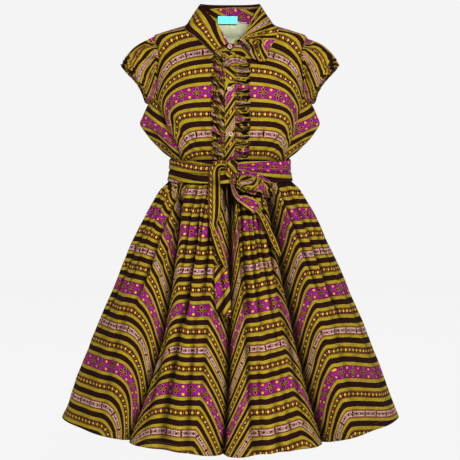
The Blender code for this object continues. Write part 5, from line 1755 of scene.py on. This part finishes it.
def ruffle(side, sign, top_z, arch):
    """A gathered strip sewn along the placket; an arch turns its top over to the other side."""
    hub = ARCH_X if arch else 0.0
    straight = top_z - RUFFLE_FOOT_Z
    whole = straight + (math.pi * ARCH_WIDTH if arch else 0.0)
    waves = round(whole / RUFFLE_WAVE)
    along, share = pairs(np.linspace(0, 1, waves * RUFFLE_WIDE + 1), np.linspace(0, 1, RUFFLE_HIGH))
    run = along * whole
    angle = np.clip((run - straight) / ARCH_WIDTH, 0, math.pi)
    arched = ramp(angle / ARCH_EASE)
    wide = RUFFLE_WIDTH if arch else RIGHT_RUFFLE_WIDTH
    width = wide + (ARCH_WIDTH - wide) * arched
    frill = RUFFLE_FRILL * np.sin(2 * math.pi * waves * along + 1.0) * share**2
    reach = RUFFLE_IN - hub + width * share * (1 + frill / width)
    x = sign * (hub + reach * np.cos(angle))
    z = np.minimum(RUFFLE_FOOT_Z + run, top_z) + reach * np.sin(angle)
    wave, phase = ruffle_waves(along, share, waves, sign)
    small, slip = ruffle_creases(run, share, whole, sign)
    small = small + TINY_WAVE * (1 - np.cos(phase * 2.0 + 1.0)) * (1 - share * 0.6)
    flat = 1 - ramp((run - straight) / ARCH_FLAT_OVER) if arch else 1.0
    small = np.maximum(small, CREASE_LOWEST - wave * 0.6) * flat
    wave = wave * (1 - ARCH_FLATNESS + ARCH_FLATNESS * flat)
    sway = RUFFLE_SWAY * np.sin(phase + 0.8) * share
    out = RUFFLE_OUT + wave + small + ARCH_OUT * arched
    points = in_front(bodice, x, z + sway * (angle <= 0), out)
    slope, start = (0.0, 0.034) if arch else (1.3, 0.074)
    turns = start - (z - slope * np.abs(x)) * RUFFLE_FULLNESS / REPEAT + slip * flat
    turned_over = ramp(angle / ARCH_PRINT_EASE)
    if arch:
        turns = turns - ARCH_BOW * (1 - (2 * share - 1) ** 2) * flat
        from_rings = np.hypot(x - ARCH_RINGS[0], z - ARCH_RINGS[1]) - ARCH_RADIUS
        round_arch = ARCH_TURNS + from_rings * ARCH_FULLNESS / REPEAT
        turns = turns + (round_arch - turns) * turned_over
    fabric = small_map(points, turns, 1.0 - turned_over)
    points, fabric = swapped(points)[::sign, ::-1], swapped(fabric)[::sign, ::-1]
    # The ruffle's colour is darkened all over as painted shade.
    cloth(f"ruffle_{side}", points, fabric, held="gathered", sunk=RUFFLE_PAINTED_SHADE)


# Each button: where its middle is, the surface it is sewn to, how far its cloth is out from that
# surface and how far the button's back is held off the cloth by the cloth's curve.
Button = namedtuple("Button", "name x z surface out proud")
BUTTONS = [
    Button("button_collar", 0.000, -0.0500, stand, 0.0, 0.0013),
    Button("button_upper", -0.001, -0.1445, bodice, PLACKET_OUT, 0.0004),
    Button("button_lower", 0.002, -0.2415, bodice, PLACKET_OUT, 0.0004),
]
BUTTON_RADIUS = 0.0052
BUTTON_SIDES = 48
HOLE_SPREAD = 0.0011
HOLE_RADIUS, HOLE_DEEP, HOLE_HEIGHT = 0.00042, 0.0003, 0.00128
THREAD_RADIUS, THREAD_LONG, THREAD_HEIGHT = 0.0003, 2.9 * HOLE_SPREAD, 0.0015
DISH_RADIUS = 0.0031  # of the thin middle, through which the cloth shows
BUTTON_LOOKS = (BUTTON_PINK, THREAD, BUTTON_DEEP)
RIM_LOOK, THREAD_LOOK, DISH_LOOK = 0, 1, 2
# Rings of a button's turned outline, from its back round the rim to the dished middle: the radius
# and the height above its back.
BUTTON_RINGS = [
    (0.0000, 0.0000),
    (0.0042, 0.0000),
    (0.0050, 0.0004),
    (0.0052, 0.0010),
    (0.0051, 0.0016),
    (0.0047, 0.0021),
    (0.0042, 0.0022),
    (0.0038, 0.0020),
    (0.0034, 0.0015),
    (0.0030, 0.0013),
    (0.0000, 0.0013),
]


def turned(form, rings):
    """Add a turned form to a bmesh: a ring of points for each radius and height."""
    angles = np.linspace(0, 2 * math.pi, BUTTON_SIDES, endpoint=False)
    loops = []
    for radius, height in rings:
        round_it = angles if radius > 0 else angles[:1]
        spots = [(radius * math.cos(a), radius * math.sin(a), height) for a in round_it]
        loops.append([form.verts.new(spot) for spot in spots])
    for low, high in zip(loops, loops[1:]):
        for k in range(BUTTON_SIDES):
            corners = [low[k % len(low)], low[(k + 1) % len(low)]]
            corners += [high[(k + 1) % len(high)], high[k % len(high)]]
            face = form.faces.new(list(dict.fromkeys(corners)))
            in_dish = max(math.hypot(*corner.co[:2]) for corner in corners) < DISH_RADIUS
            face.material_index = DISH_LOOK if in_dish else RIM_LOOK
            face.smooth = True


def rod(form, segments, radius, depth, place, lying):
    """Add a rod of thread to a bmesh, lying across a button or upright in one of its holes."""
    made = bmesh.ops.create_cone(
        form, cap_ends=True, segments=segments, radius1=radius, radius2=radius, depth=depth
    )["verts"]
    if lying:
        bmesh.ops.rotate(form, verts=made, matrix=Matrix.Rotation(math.pi / 2, 3, "Y"))
    bmesh.ops.translate(form, verts=made, vec=place)
    for face in {face for vert in made for face in vert.link_faces}:
        face.material_index = THREAD_LOOK
        face.smooth = lying


def button(row):
    """A round button with a raised rim, four stitched holes and its thread."""
    x = row.x + BUTTON_RADIUS * np.array([0.0, -1.0, 1.0, 0.0, 0.0])
    z = row.z + BUTTON_RADIUS * np.array([0.0, 0.0, 0.0, -1.0, 1.0])
    here, right, left, below, above = in_front(row.surface, x, z, row.out)
    normal = Vector(np.cross(left - right, above - below)).normalized()
    form = bmesh.new()
    turned(form, BUTTON_RINGS)
    for y in (HOLE_SPREAD / 2, -HOLE_SPREAD / 2):
        rod(form, 8, THREAD_RADIUS, THREAD_LONG, (0.0, y, THREAD_HEIGHT), lying=True)
    for a in (-1, 1):
        for b in (-1, 1):
            place = (a * HOLE_SPREAD, b * HOLE_SPREAD / 2, HOLE_HEIGHT)
            rod(form, 12, HOLE_RADIUS, HOLE_DEEP, place, lying=False)
    bmesh.ops.recalc_face_normals(form, faces=form.faces)
    mesh = made_mesh(row.name, form, *BUTTON_LOOKS)
    spin = normal.to_track_quat("Z", "Y").to_matrix().to_4x4()
    mesh.transform(Matrix.Translation(Vector(here) + normal * row.proud) @ spin)
    add_piece(f"{row.name}_turned", mesh, "button", row.name)


# ---------------------------------------------------------------- sash and bow
SASH_OUT = BELT + 0.0012  # the sash's outer face from the waist under it
SASH_WALL, RIBBON_WALL, KNOT_WALL = BELT * 0.7, BELT * 0.8, BELT * 0.6


def waist(bearing, z, out=0.0):
    """The sash's surface: the waist of bodice and skirt, drawn in smooth."""
    upper = bodice(bearing, np.maximum(z, WAIST_Z))
    lower = skirt(bearing, np.minimum(z, WAIST_Z), folded=False)
    inner = np.where((z > WAIST_Z)[..., None], upper, lower)
    radius = np.hypot(inner[..., 0], inner[..., 1])
    return placed(radius + out, bearing, z)


SASH_FOLDS = [
    Crease(-60, -0.3045, -34, -0.3095, 0.0034, 0.0022),
    Crease(-34, -0.3095, -6, -0.3195, 0.0036, 0.0034),
    Crease(-100, -0.3270, -10, -0.3330, 0.0022, 0.0039),
    Crease(-95, -0.3150, -40, -0.3110, 0.0018, 0.0021),
    Crease(-60, -0.3400, -8, -0.3280, 0.0020, 0.0027),
    Crease(-85, -0.3450, -30, -0.3420, 0.0018, 0.0021),
    Crease(12, -0.3240, 95, -0.3330, 0.0022, 0.0039),
    Crease(8, -0.3120, 60, -0.3180, 0.0018, 0.0024),
    Crease(14, -0.3380, 75, -0.3440, 0.0018, 0.0024),
    Crease(30, -0.3300, 52, -0.3070, 0.0016, 0.0015),
    Crease(85, -0.3290, 178, -0.3260, 0.0022, 0.0036),
    Crease(100, -0.3150, 160, -0.3120, 0.0018, 0.0021),
    Crease(110, -0.3410, 172, -0.3430, 0.0018, 0.0021),
    Crease(178, -0.3280, 268, -0.3300, 0.0022, 0.0036),
    Crease(190, -0.3140, 250, -0.3160, 0.0018, 0.0021),
    Crease(196, -0.3430, 256, -0.3400, 0.0018, 0.0021),
]
SASH_RADIUS = 0.12  # at which they take their bearings
SASH_SWELL = 0.0018  # how far the sash stands out between its edges
SASH_ROLL, SASH_ROLL_WIDTH = 0.0016, 0.0025  # how its edges roll in
# On the right a wedge of the sash, above a line that falls toward the knot, lies over the rest.
WEDGE_START, WEDGE_LONG = -62, 56  # bearings
WEDGE_Z, WEDGE_FALL = -0.3030, 0.0170
SASH_TURNS, SASH_FULLNESS = 0.215, 0.95  # turns of the print at its upper edge, on the right
WEDGE_TURNS, WEDGE_FULLNESS = 0.085, 1.7  # and along the wedge's line
SASH_FAN_Z, SASH_FAN_FALL = -0.3130, 0.0065  # a flowered band's middle at the knot, and its fall


def sash_turns(bearing, z):
    """Turns of the print on the sash: level on the right, fanned out of the knot on the left."""
    right = SASH_TURNS + (SASH_TOP_Z - z) / REPEAT * SASH_FULLNESS + 0.03 * np.sin(bearing / 17)
    line = WEDGE_Z - WEDGE_FALL * np.clip((bearing - WEDGE_START) / WEDGE_LONG, 0, 1) ** 1.3
    wedge = ramp((z - line) / 0.0008) * ramp((bearing - WEDGE_START) / 8)
    right = right + (WEDGE_TURNS + (z - line) * WEDGE_FULLNESS / REPEAT - right) * wedge
    spread = np.clip(1.1 * np.sin(np.radians(np.clip(bearing, 0, 90))) - 0.1, 0.02, 1)
    left = 1.0 + (SASH_FAN_Z - SASH_FAN_FALL * spread - z) / REPEAT / (0.28 + 0.92 * spread)
    return right + (left - right) * (bearing > 0)


def sash_band():
    bearing, z = grid_of("sash_band", (-180, 180), (SASH_TOP_Z, SASH_FOOT_Z))
    folds = creased(bearing, z, SASH_FOLDS, SASH_RADIUS)
    folds = folds + rippled(bearing, z, seed=9, height=0.0006, size=0.03)
    edge = np.minimum(z - SASH_FOOT_Z, SASH_TOP_Z - z)
    out = SASH_OUT + SASH_SWELL + folds * ramp(edge / 0.004) - SASH_ROLL * bell(edge, SASH_ROLL_WIDTH)
    points = waist(bearing, z, out)
    fabric = small_map(points, sash_turns(bearing, z), 0.0)
    cloth("sash_band", points, fabric, held="gathered", closed=True, wall=SASH_WALL)


# A row for each place along a ribbon of the bow, seen from the front: where its middle line is,
# how far out of the skirt's hull its face lies there, half its width and how much it is crowned.
Lie = namedtuple("Lie", "x z out half crown")
STRAP_RIGHT = [
    Lie(-0.0081, -0.3108, 0.0152, 0.0075, 0.002),
    Lie(-0.0190, -0.3085, 0.0160, 0.0090, 0.002),
    Lie(-0.0300, -0.3140, 0.0145, 0.0100, 0.002),
    Lie(-0.0350, -0.3320, 0.0120, 0.0120, 0.003),
    Lie(-0.0345, -0.3700, 0.0090, 0.0130, 0.003),
    Lie(-0.0350, -0.4150, 0.0080, 0.0120, 0.003),
    Lie(-0.0375, -0.4480, 0.0075, 0.0070, 0.002),
    Lie(-0.0305, -0.4710, 0.0075, 0.0095, 0.002),
    Lie(-0.0195, -0.5020, 0.0070, 0.0085, 0.002),
    Lie(-0.0085, -0.5290, 0.0065, 0.0040, 0.001),
]
TAIL_RIGHT = [
    Lie(-0.0215, -0.5240, 0.0034, 0.0130, 0.000),
    Lie(-0.0180, -0.5540, 0.0040, 0.0155, 0.001),
    Lie(-0.0160, -0.5850, 0.0040, 0.0165, 0.001),
    Lie(-0.0140, -0.6100, 0.0040, 0.0160, 0.001),
    Lie(-0.0120, -0.6270, 0.0040, 0.0140, 0.000),
]
TAIL_LEFT = [
    Lie(0.0025, -0.3388, 0.0110, 0.0040, 0.000),
    Lie(0.0070, -0.3640, 0.0070, 0.0045, 0.000),
    Lie(0.0170, -0.3810, 0.0065, 0.0060, 0.001),
    Lie(0.0350, -0.3890, 0.0095, 0.0125, 0.002),
    Lie(0.0540, -0.4010, 0.0100, 0.0145, 0.002),
    Lie(0.0660, -0.4150, 0.0095, 0.0060, 0.002),
    Lie(0.0790, -0.4380, 0.0080, 0.0085, 0.002),
    Lie(0.0950, -0.4740, 0.0060, 0.0085, 0.001),
    Lie(0.1100, -0.5070, 0.0050, 0.0045, 0.001),
]


def along_rows(rows, steps, count):
    """Places along a table and across its strip, and each column of the table there."""
    last = len(rows) - 1
    t, across = pairs(np.linspace(0, last, last * steps + 1), np.linspace(-1, 1, count))
    fields = rows[0]._fields
    return t, across, {
        field: smooth(range(last + 1), [getattr(row, field) for row in rows]) for field in fields
    }


def strip_fabric(points, phase, span, slip, slips_at):
    """The print on a strip whose stripes run along it: turns at its middle and over its width.

    Where the strip is twisted, the print slips to another of its bands.
    """
    along = np.linspace(0, 1, points.shape[0])[:, None]
    across = np.linspace(-1, 1, points.shape[1])[None, :]
    turns = phase + span / 2 * across + slip * ramp((along - slips_at) / 0.06)
    return small_map(points, turns, 0.0)


BIAS_GATHER_AT, BIAS_GATHER = -0.025, 1.3  # from where its stripes crowd, and by how much more
BIAS_FULLNESS = 1.1


def bias_fabric(points, x, z, rise):
    """The print on a strip cut on the bias: its stripes rise by an angle toward the viewer's right.

    A flowered band's middle goes through a point; above that band the cloth is gathered.
    """
    turn = math.radians(rise)
    off = (points[..., 0] - x) * math.sin(turn) - (points[..., 2] - z) * math.cos(turn)
    off = off + BIAS_GATHER * np.minimum(off - BIAS_GATHER_AT, 0.0)
    return small_map(points, 1.0 + BIAS_FULLNESS * off / REPEAT, 0.0)


RIBBON_FOLDS = 5
RIBBON_FOLD_WIDTH = 0.14  # as a share of half the ribbon
RIBBON_SWAY = 0.35  # how far a fold wanders across it
RIBBON_FULL = 0.01  # half a ribbon's width from which its folds are whole


def ribbon_folds(t, across, seed):
    """Folds that wander along a ribbon."""
    chance = np.random.default_rng(seed)
    folds = 0.0
    for _ in range(RIBBON_FOLDS):
        start, pace, lead = chance.uniform(-0.8, 0.8), chance.uniform(0.5, 1.4), chance.uniform(0, 6)
        line = start + RIBBON_SWAY * np.sin(t * pace + lead)
        folds = folds - chance.uniform(0.0010, 0.0026) * bell(across - line, RIBBON_FOLD_WIDTH)
    return folds + 0.0005 * np.sin(t * 3.1 + seed)


def ribbon(name, rows, seed, cut, fabric_of, *print_at):
    """A hanging strip of the sash, laid over the skirt's hull along a table's middle line.

    Its end is cut aslant, lower on the viewer's right by twice the cut.
    """
    t, across, at = along_rows(rows, steps=12, count=25)
    run_x = np.gradient(at["x"](t[:, 0]))[:, None]
    run_z = np.gradient(at["z"](t[:, 0]))[:, None]
    length = np.hypot(run_x, run_z)
    x = at["x"](t) - run_z / length * at["half"](t) * across
    z = at["z"](t) + run_x / length * at["half"](t) * across
    z = z - cut * across * ramp(t - t.max() + 1)
    folds = ribbon_folds(t, across, seed) * np.minimum(at["half"](t) / RIBBON_FULL, 1)
    out = at["out"](t) + at["crown"](t) * (1 - across**2) + folds
    points = in_front(waist, x, z, out)
    fabric = fabric_of(points, *print_at)
    cloth(name, swapped(points), swapped(fabric), held="hung", wall=RIBBON_WALL)


# A row for each place round the bow's one full loop, which droops from the knot to the left.
Turn = namedtuple("Turn", "x z out half lean")
BOW_LOOP = [
    Turn(0.0150, -0.3400, 0.0190, 0.0120, 0.000),
    Turn(0.0350, -0.3430, 0.0230, 0.0200, 0.002),
    Turn(0.0600, -0.3480, 0.0240, 0.0200, 0.003),
    Turn(0.0830, -0.3580, 0.0200, 0.0180, 0.003),
    Turn(0.0910, -0.3640, 0.0140, 0.0175, 0.003),
    Turn(0.0800, -0.3640, 0.0100, 0.0170, 0.002),
    Turn(0.0560, -0.3610, 0.0090, 0.0150, 0.001),
    Turn(0.0300, -0.3560, 0.0100, 0.0110, 0.000),
    Turn(0.0150, -0.3520, 0.0110, 0.0080, 0.000),
]
LOOP_FAN = (0.0165, -0.3720)  # x and z of the point from which its stripes and creases fan out
LOOP_CREASES = 16
LOOP_CREASE_WIDTH, LOOP_SLIP_WIDTH = 0.0022, 0.0014
LOOP_PLEAT, LOOP_PLEAT_LONG = 0.0022, 1.6  # its pleats in the knot, and how far along it they die
LOOP_GROOVE = 0.0030  # the groove along its upper part
LOOP_TURNS, LOOP_MIDDLE, LOOP_RATE = 0.45, 50, 0.0060  # turns at an angle of its fan, and for each degree
LOOP_EDGING = -0.58  # where across it the stripes along its upper edge end


def loop_creases(x, z):
    """The creases that fan out over the loop, its print's slips at them, and the fan's angle."""
    far = np.hypot(x - LOOP_FAN[0], z - LOOP_FAN[1])
    angle = np.degrees(np.arctan2(z - LOOP_FAN[1], x - LOOP_FAN[0]))
    chance = np.random.default_rng(31)
    folds, slip = 0.0, 0.0
    for _ in range(LOOP_CREASES):
        away = np.radians(angle - chance.uniform(0, 85)) * far
        place = chance.uniform(0.020, 0.075)
        reach = bell(far - place, chance.uniform(0.012, 0.025))
        folds = folds - chance.uniform(0.0016, 0.0034) * bell(away, LOOP_CREASE_WIDTH) * reach
        slip = slip + chance.uniform(-0.12, 0.12) * np.tanh(away / LOOP_SLIP_WIDTH) * reach
    return folds, slip, angle


def bow_loop():
    """A strip that goes out from the knot, turns back on itself and returns behind."""
    t, across, at = along_rows(BOW_LOOP, steps=14, count=27)
    x = at["x"](t) + at["lean"](t) * across
    z = at["z"](t) - at["half"](t) * across
    creases, slip, angle = loop_creases(x, z)
    pleats = LOOP_PLEAT * np.cos(across * 7.5 + 0.6) * np.exp(-t / LOOP_PLEAT_LONG)
    groove = LOOP_GROOVE * bell(across + 0.50 - 0.05 * t, 0.12)
    folds = pleats + 0.0007 * np.sin(across * 5 + t * 1.3) - groove + creases
    points = in_front(waist, x, z, at["out"](t) + folds)
    crossing = LOOP_TURNS + LOOP_RATE * (angle - LOOP_MIDDLE) + slip
    edging = 0.02 + 0.16 * (across + 1)
    turns = edging + (crossing - edging) * ramp((across - LOOP_EDGING) / 0.12)
    fabric = small_map(points, turns, 0.0)
    cloth("bow_loop", swapped(points), swapped(fabric), held="folded", wall=RIBBON_WALL)


KNOT_SIZE = (0.0155, 0.0105, 0.0240)  # half its width, depth and height
KNOT_PLACE = (0.0035, -0.3190)
KNOT_LEAN = 12.0  # degrees
KNOT_SHRINK = 0.84  # how far the rounded lump reaches towards its cage
KNOT_SQUARE = 0.8  # under 1, its outline is squarer than an oval
KNOT_PROUD = 0.0008
# Its grooves: how high each is, from -1 to 1, how wide and how deep.
KNOT_GROOVES = [(-0.30, 0.10, 0.09), (0.22, 0.09, 0.10), (0.62, 0.08, 0.06), (-0.68, 0.09, 0.05)]


def sash_knot():
    """The knot's wound cloth: a rounded lump with the folds of the turn that goes round it."""
    around, height = grid_of("sash_knot", (0, 2 * math.pi), (-1, 1))
    lean = height + 0.18 * np.sin(around)
    grooved = 1.0
    for up, width, depth in KNOT_GROOVES:
        grooved = grooved - depth * bell(lean - up, width)
    ring = np.clip(1 - np.abs(height) ** 3.2, 0.0, 1) ** 0.42 * grooved * KNOT_SHRINK
    half_x, half_y, half_z = KNOT_SIZE
    x = half_x * ring * np.sign(np.sin(around)) * np.abs(np.sin(around)) ** KNOT_SQUARE
    y = half_y * ring * np.sign(np.cos(around)) * np.abs(np.cos(around)) ** KNOT_SQUARE
    z = half_z * height * KNOT_SHRINK
    tilt = math.radians(KNOT_LEAN)
    leaning_x = x * math.cos(tilt) + z * math.sin(tilt)
    leaning_z = z * math.cos(tilt) - x * math.sin(tilt)
    out = SASH_OUT + KNOT_PROUD + half_y * KNOT_SHRINK + LAY_GAP
    middle = in_front(waist, *np.array(KNOT_PLACE), out)
    points = np.stack([leaning_x, -y, leaning_z], axis=-1) + middle
    turns = 0.30 + height * 0.10 + 0.05 * np.sin(around)
    finish = {"closed": True, "wall": KNOT_WALL}
    cloth("sash_knot", points[::-1], small_map(points, turns, 0.0)[::-1], held="folded", **finish)


# ---------------------------------------------------------------- stitching
STITCH_LONG = 0.0026
STITCH_GAP = 0.0011
STITCH_THICK = 0.00030
STITCH_END_LIFT, STITCH_END_WIDE = 0.2, 0.6  # of its ends, over its middle's
THREAD_PROUD = 0.0001
STITCHED_ROW = 29  # of the collar's grid
HEM_PATH_STEP = 0.25  # degrees between the points of the hem's path
BEARING_STEP, HEIGHT_STEP = 0.05, 0.0005  # over which a surface's slope is found


def stitch(form, a, a_out, b, b_out):
    """Add a stitch from a to b to a bmesh: square across, and thickest in its middle."""
    side = np.cross((b - a) / np.linalg.norm(b - a), a_out)
    half = STITCH_THICK / 2
    rims = []
    for point, away, lift, wide in (
        (a, a_out, STITCH_END_LIFT, STITCH_END_WIDE),
        ((a + b) / 2, b_out, 1.0, 1.0),
        (b, b_out, STITCH_END_LIFT, STITCH_END_WIDE),
    ):
        middle = point + away * half * lift
        corners = [side, away, -side, -away]
        rims.append([form.verts.new(middle + corner * half * wide) for corner in corners])
    for one, two in zip(rims, rims[1:]):
        for k in range(4):
            form.faces.new([one[k], one[(k + 1) % 4], two[(k + 1) % 4], two[k]])
    form.faces.new(rims[0][::-1])
    form.faces.new(rims[-1])


def stitches(name, paths):
    """Rows of stitches along paths, each a list of points and the way out of the cloth there."""
    form = bmesh.new()
    for path, out in paths:
        run = run_along(path)
        starts = np.arange(0, run[-1] - STITCH_LONG, STITCH_LONG + STITCH_GAP)
        ends = starts + STITCH_LONG
        rows = [interpolate(where, run, line) for where in (starts, ends) for line in (path, out)]
        for row in zip(*rows):
            stitch(form, *row)
    bmesh.ops.recalc_face_normals(form, faces=form.faces)
    add_piece(name, made_mesh(name, form, THREAD), "wax_print")


def surface_path(surface, bearing, z):
    """A path on a surface, and the way out of it."""
    here = surface(bearing, z)
    run = surface(bearing + BEARING_STEP, z) - here
    rise = surface(bearing, z + HEIGHT_STEP) - here
    out = np.cross(run, rise)
    return here, out / np.linalg.norm(out, axis=-1, keepdims=True)


def hem_stitches():
    bearing = np.arange(-180.0, 180.0 + HEM_PATH_STEP, HEM_PATH_STEP)
    z = hem_z(bearing) + HEM_TURN_UP
    stitches("hem_stitches", [surface_path(worn_skirt, bearing, z)])


def placket_stitches():
    paths = []
    for x in (-PLACKET_HALF + ROW_IN, PLACKET_HALF - ROW_IN):
        z = np.linspace(PLACKET_TOP_Z - 0.003, SASH_TOP_Z + 0.002, 200)
        path = in_front(bodice, x + 0 * z, z, PLACKET_OUT + THREAD_PROUD)
        paths.append((path, np.tile([0.0, -1.0, 0.0], (len(z), 1))))
    stitches("placket_stitches", paths)


def collar_stitches(points):
    """A row of stitches inside the outer edge of the collar, on the grid it was made from."""
    row = points[2:-2, STITCHED_ROW]
    across = points[3:-1, STITCHED_ROW] - row
    down = points[2:-2, STITCHED_ROW + 1] - row
    out = np.cross(down, across)
    out = out / np.linalg.norm(out, axis=-1, keepdims=True)
    stitches("collar_stitches", [(row + out * THREAD_PROUD, out)])


# ---------------------------------------------------------------- build
for side, sign in (("right", -1), ("left", 1)):
    bodice_front(side, sign)
    bodice_side(side, sign)
    sleeve(side, sign)
bodice_back()
collar_stand()
collar_points = collar_fall()
neck_label()
placket()
ruffle("right", -1, RIGHT_RUFFLE_TOP_Z, False)
ruffle("left", 1, ARCH_Z, True)
for row in BUTTONS:
    button(row)
for name in PANELS:
    gore(name)
sash_band()
sash_knot()
bow_loop()
ribbon("bow_strap", STRAP_RIGHT, 21, 0.0, strip_fabric, 0.33, 0.22, -0.09, 0.62)
ribbon("sash_tail_right", TAIL_RIGHT, 22, 0.0075, bias_fabric, -0.0205, -0.5700, 54.0)
ribbon("sash_tail_left", TAIL_LEFT, 23, 0.0, strip_fabric, 0.98, 0.26, 0.28, 0.52)
hem_stitches()
placket_stitches()
collar_stitches(collar_points)


# ---------------------------------------------------------------- camera, light and floor
CAMERA_AT = (0.0, -2.3, -0.1825)
CAMERA_PITCH = 7.1  # degrees below level
LENS = 77.5
FLOOR_Z = -1.38
FLOOR_SIZE = 9.0
PALE = (0.905, 0.905, 0.905)
DOME = (0.12, 0.12, 0.13)
PALE_TO = 0.34  # sine of the height up to which the room is pale
PALE_FADE = 0.20
LIT_MIDDLE = (0.0, 0.0, -0.45)  # the point that the lamps face


def backdrop():
    """A pale floor in a room that is pale all round and darker overhead."""
    graph = Graph("pale_floor")
    graph.set(Base_Color=(0.02, 0.02, 0.02), Roughness=0.9, Specular_IOR_Level=0.0)
    graph.set(Emission_Color=PALE, Emission_Strength=0.985)
    form = bmesh.new()
    bmesh.ops.create_grid(form, x_segments=1, y_segments=1, size=FLOOR_SIZE / 2)
    mesh = made_mesh("floor", form, graph.material)
    floor = bpy.data.objects.new("floor", mesh)
    floor.location = (0.0, 0.0, FLOOR_Z)
    bpy.context.scene.collection.objects.link(floor)
    room = Graph.of_world("pale_room")
    height = room.split(room.direction())[2]
    share = abs(height).under(PALE_TO, PALE_FADE)
    room.link(room.mix(share, DOME, PALE), room.shader.inputs["Color"])


def lamp(name, place, size, power):
    """A soft square light that faces the middle of the dress."""
    light = bpy.data.lights.new(name, "AREA")
    light.shape = "SQUARE"
    light.size = size
    light.energy = power
    piece = bpy.data.objects.new(name, light)
    piece.location = place
    aim = Vector(LIT_MIDDLE) - Vector(place)
    piece.rotation_euler = aim.to_track_quat("-Z", "Y").to_euler()
    bpy.context.scene.collection.objects.link(piece)


backdrop()
lamp("key", (0.7, -3.0, 1.1), size=0.5, power=150.0)
lamp("fill", (-1.9, -2.0, 0.4), size=1.2, power=14.0)
lamp("back", (0.0, 2.9, 1.2), size=1.2, power=90.0)

lens = bpy.data.cameras.new("photo_camera")
lens.lens = LENS
camera = bpy.data.objects.new("photo_camera", lens)
camera.location = CAMERA_AT
camera.rotation_euler = (math.radians(90.0 - CAMERA_PITCH), 0.0, 0.0)
bpy.context.scene.collection.objects.link(camera)
bpy.context.scene.camera = camera
bpy.context.scene.view_settings.view_transform = "Standard"
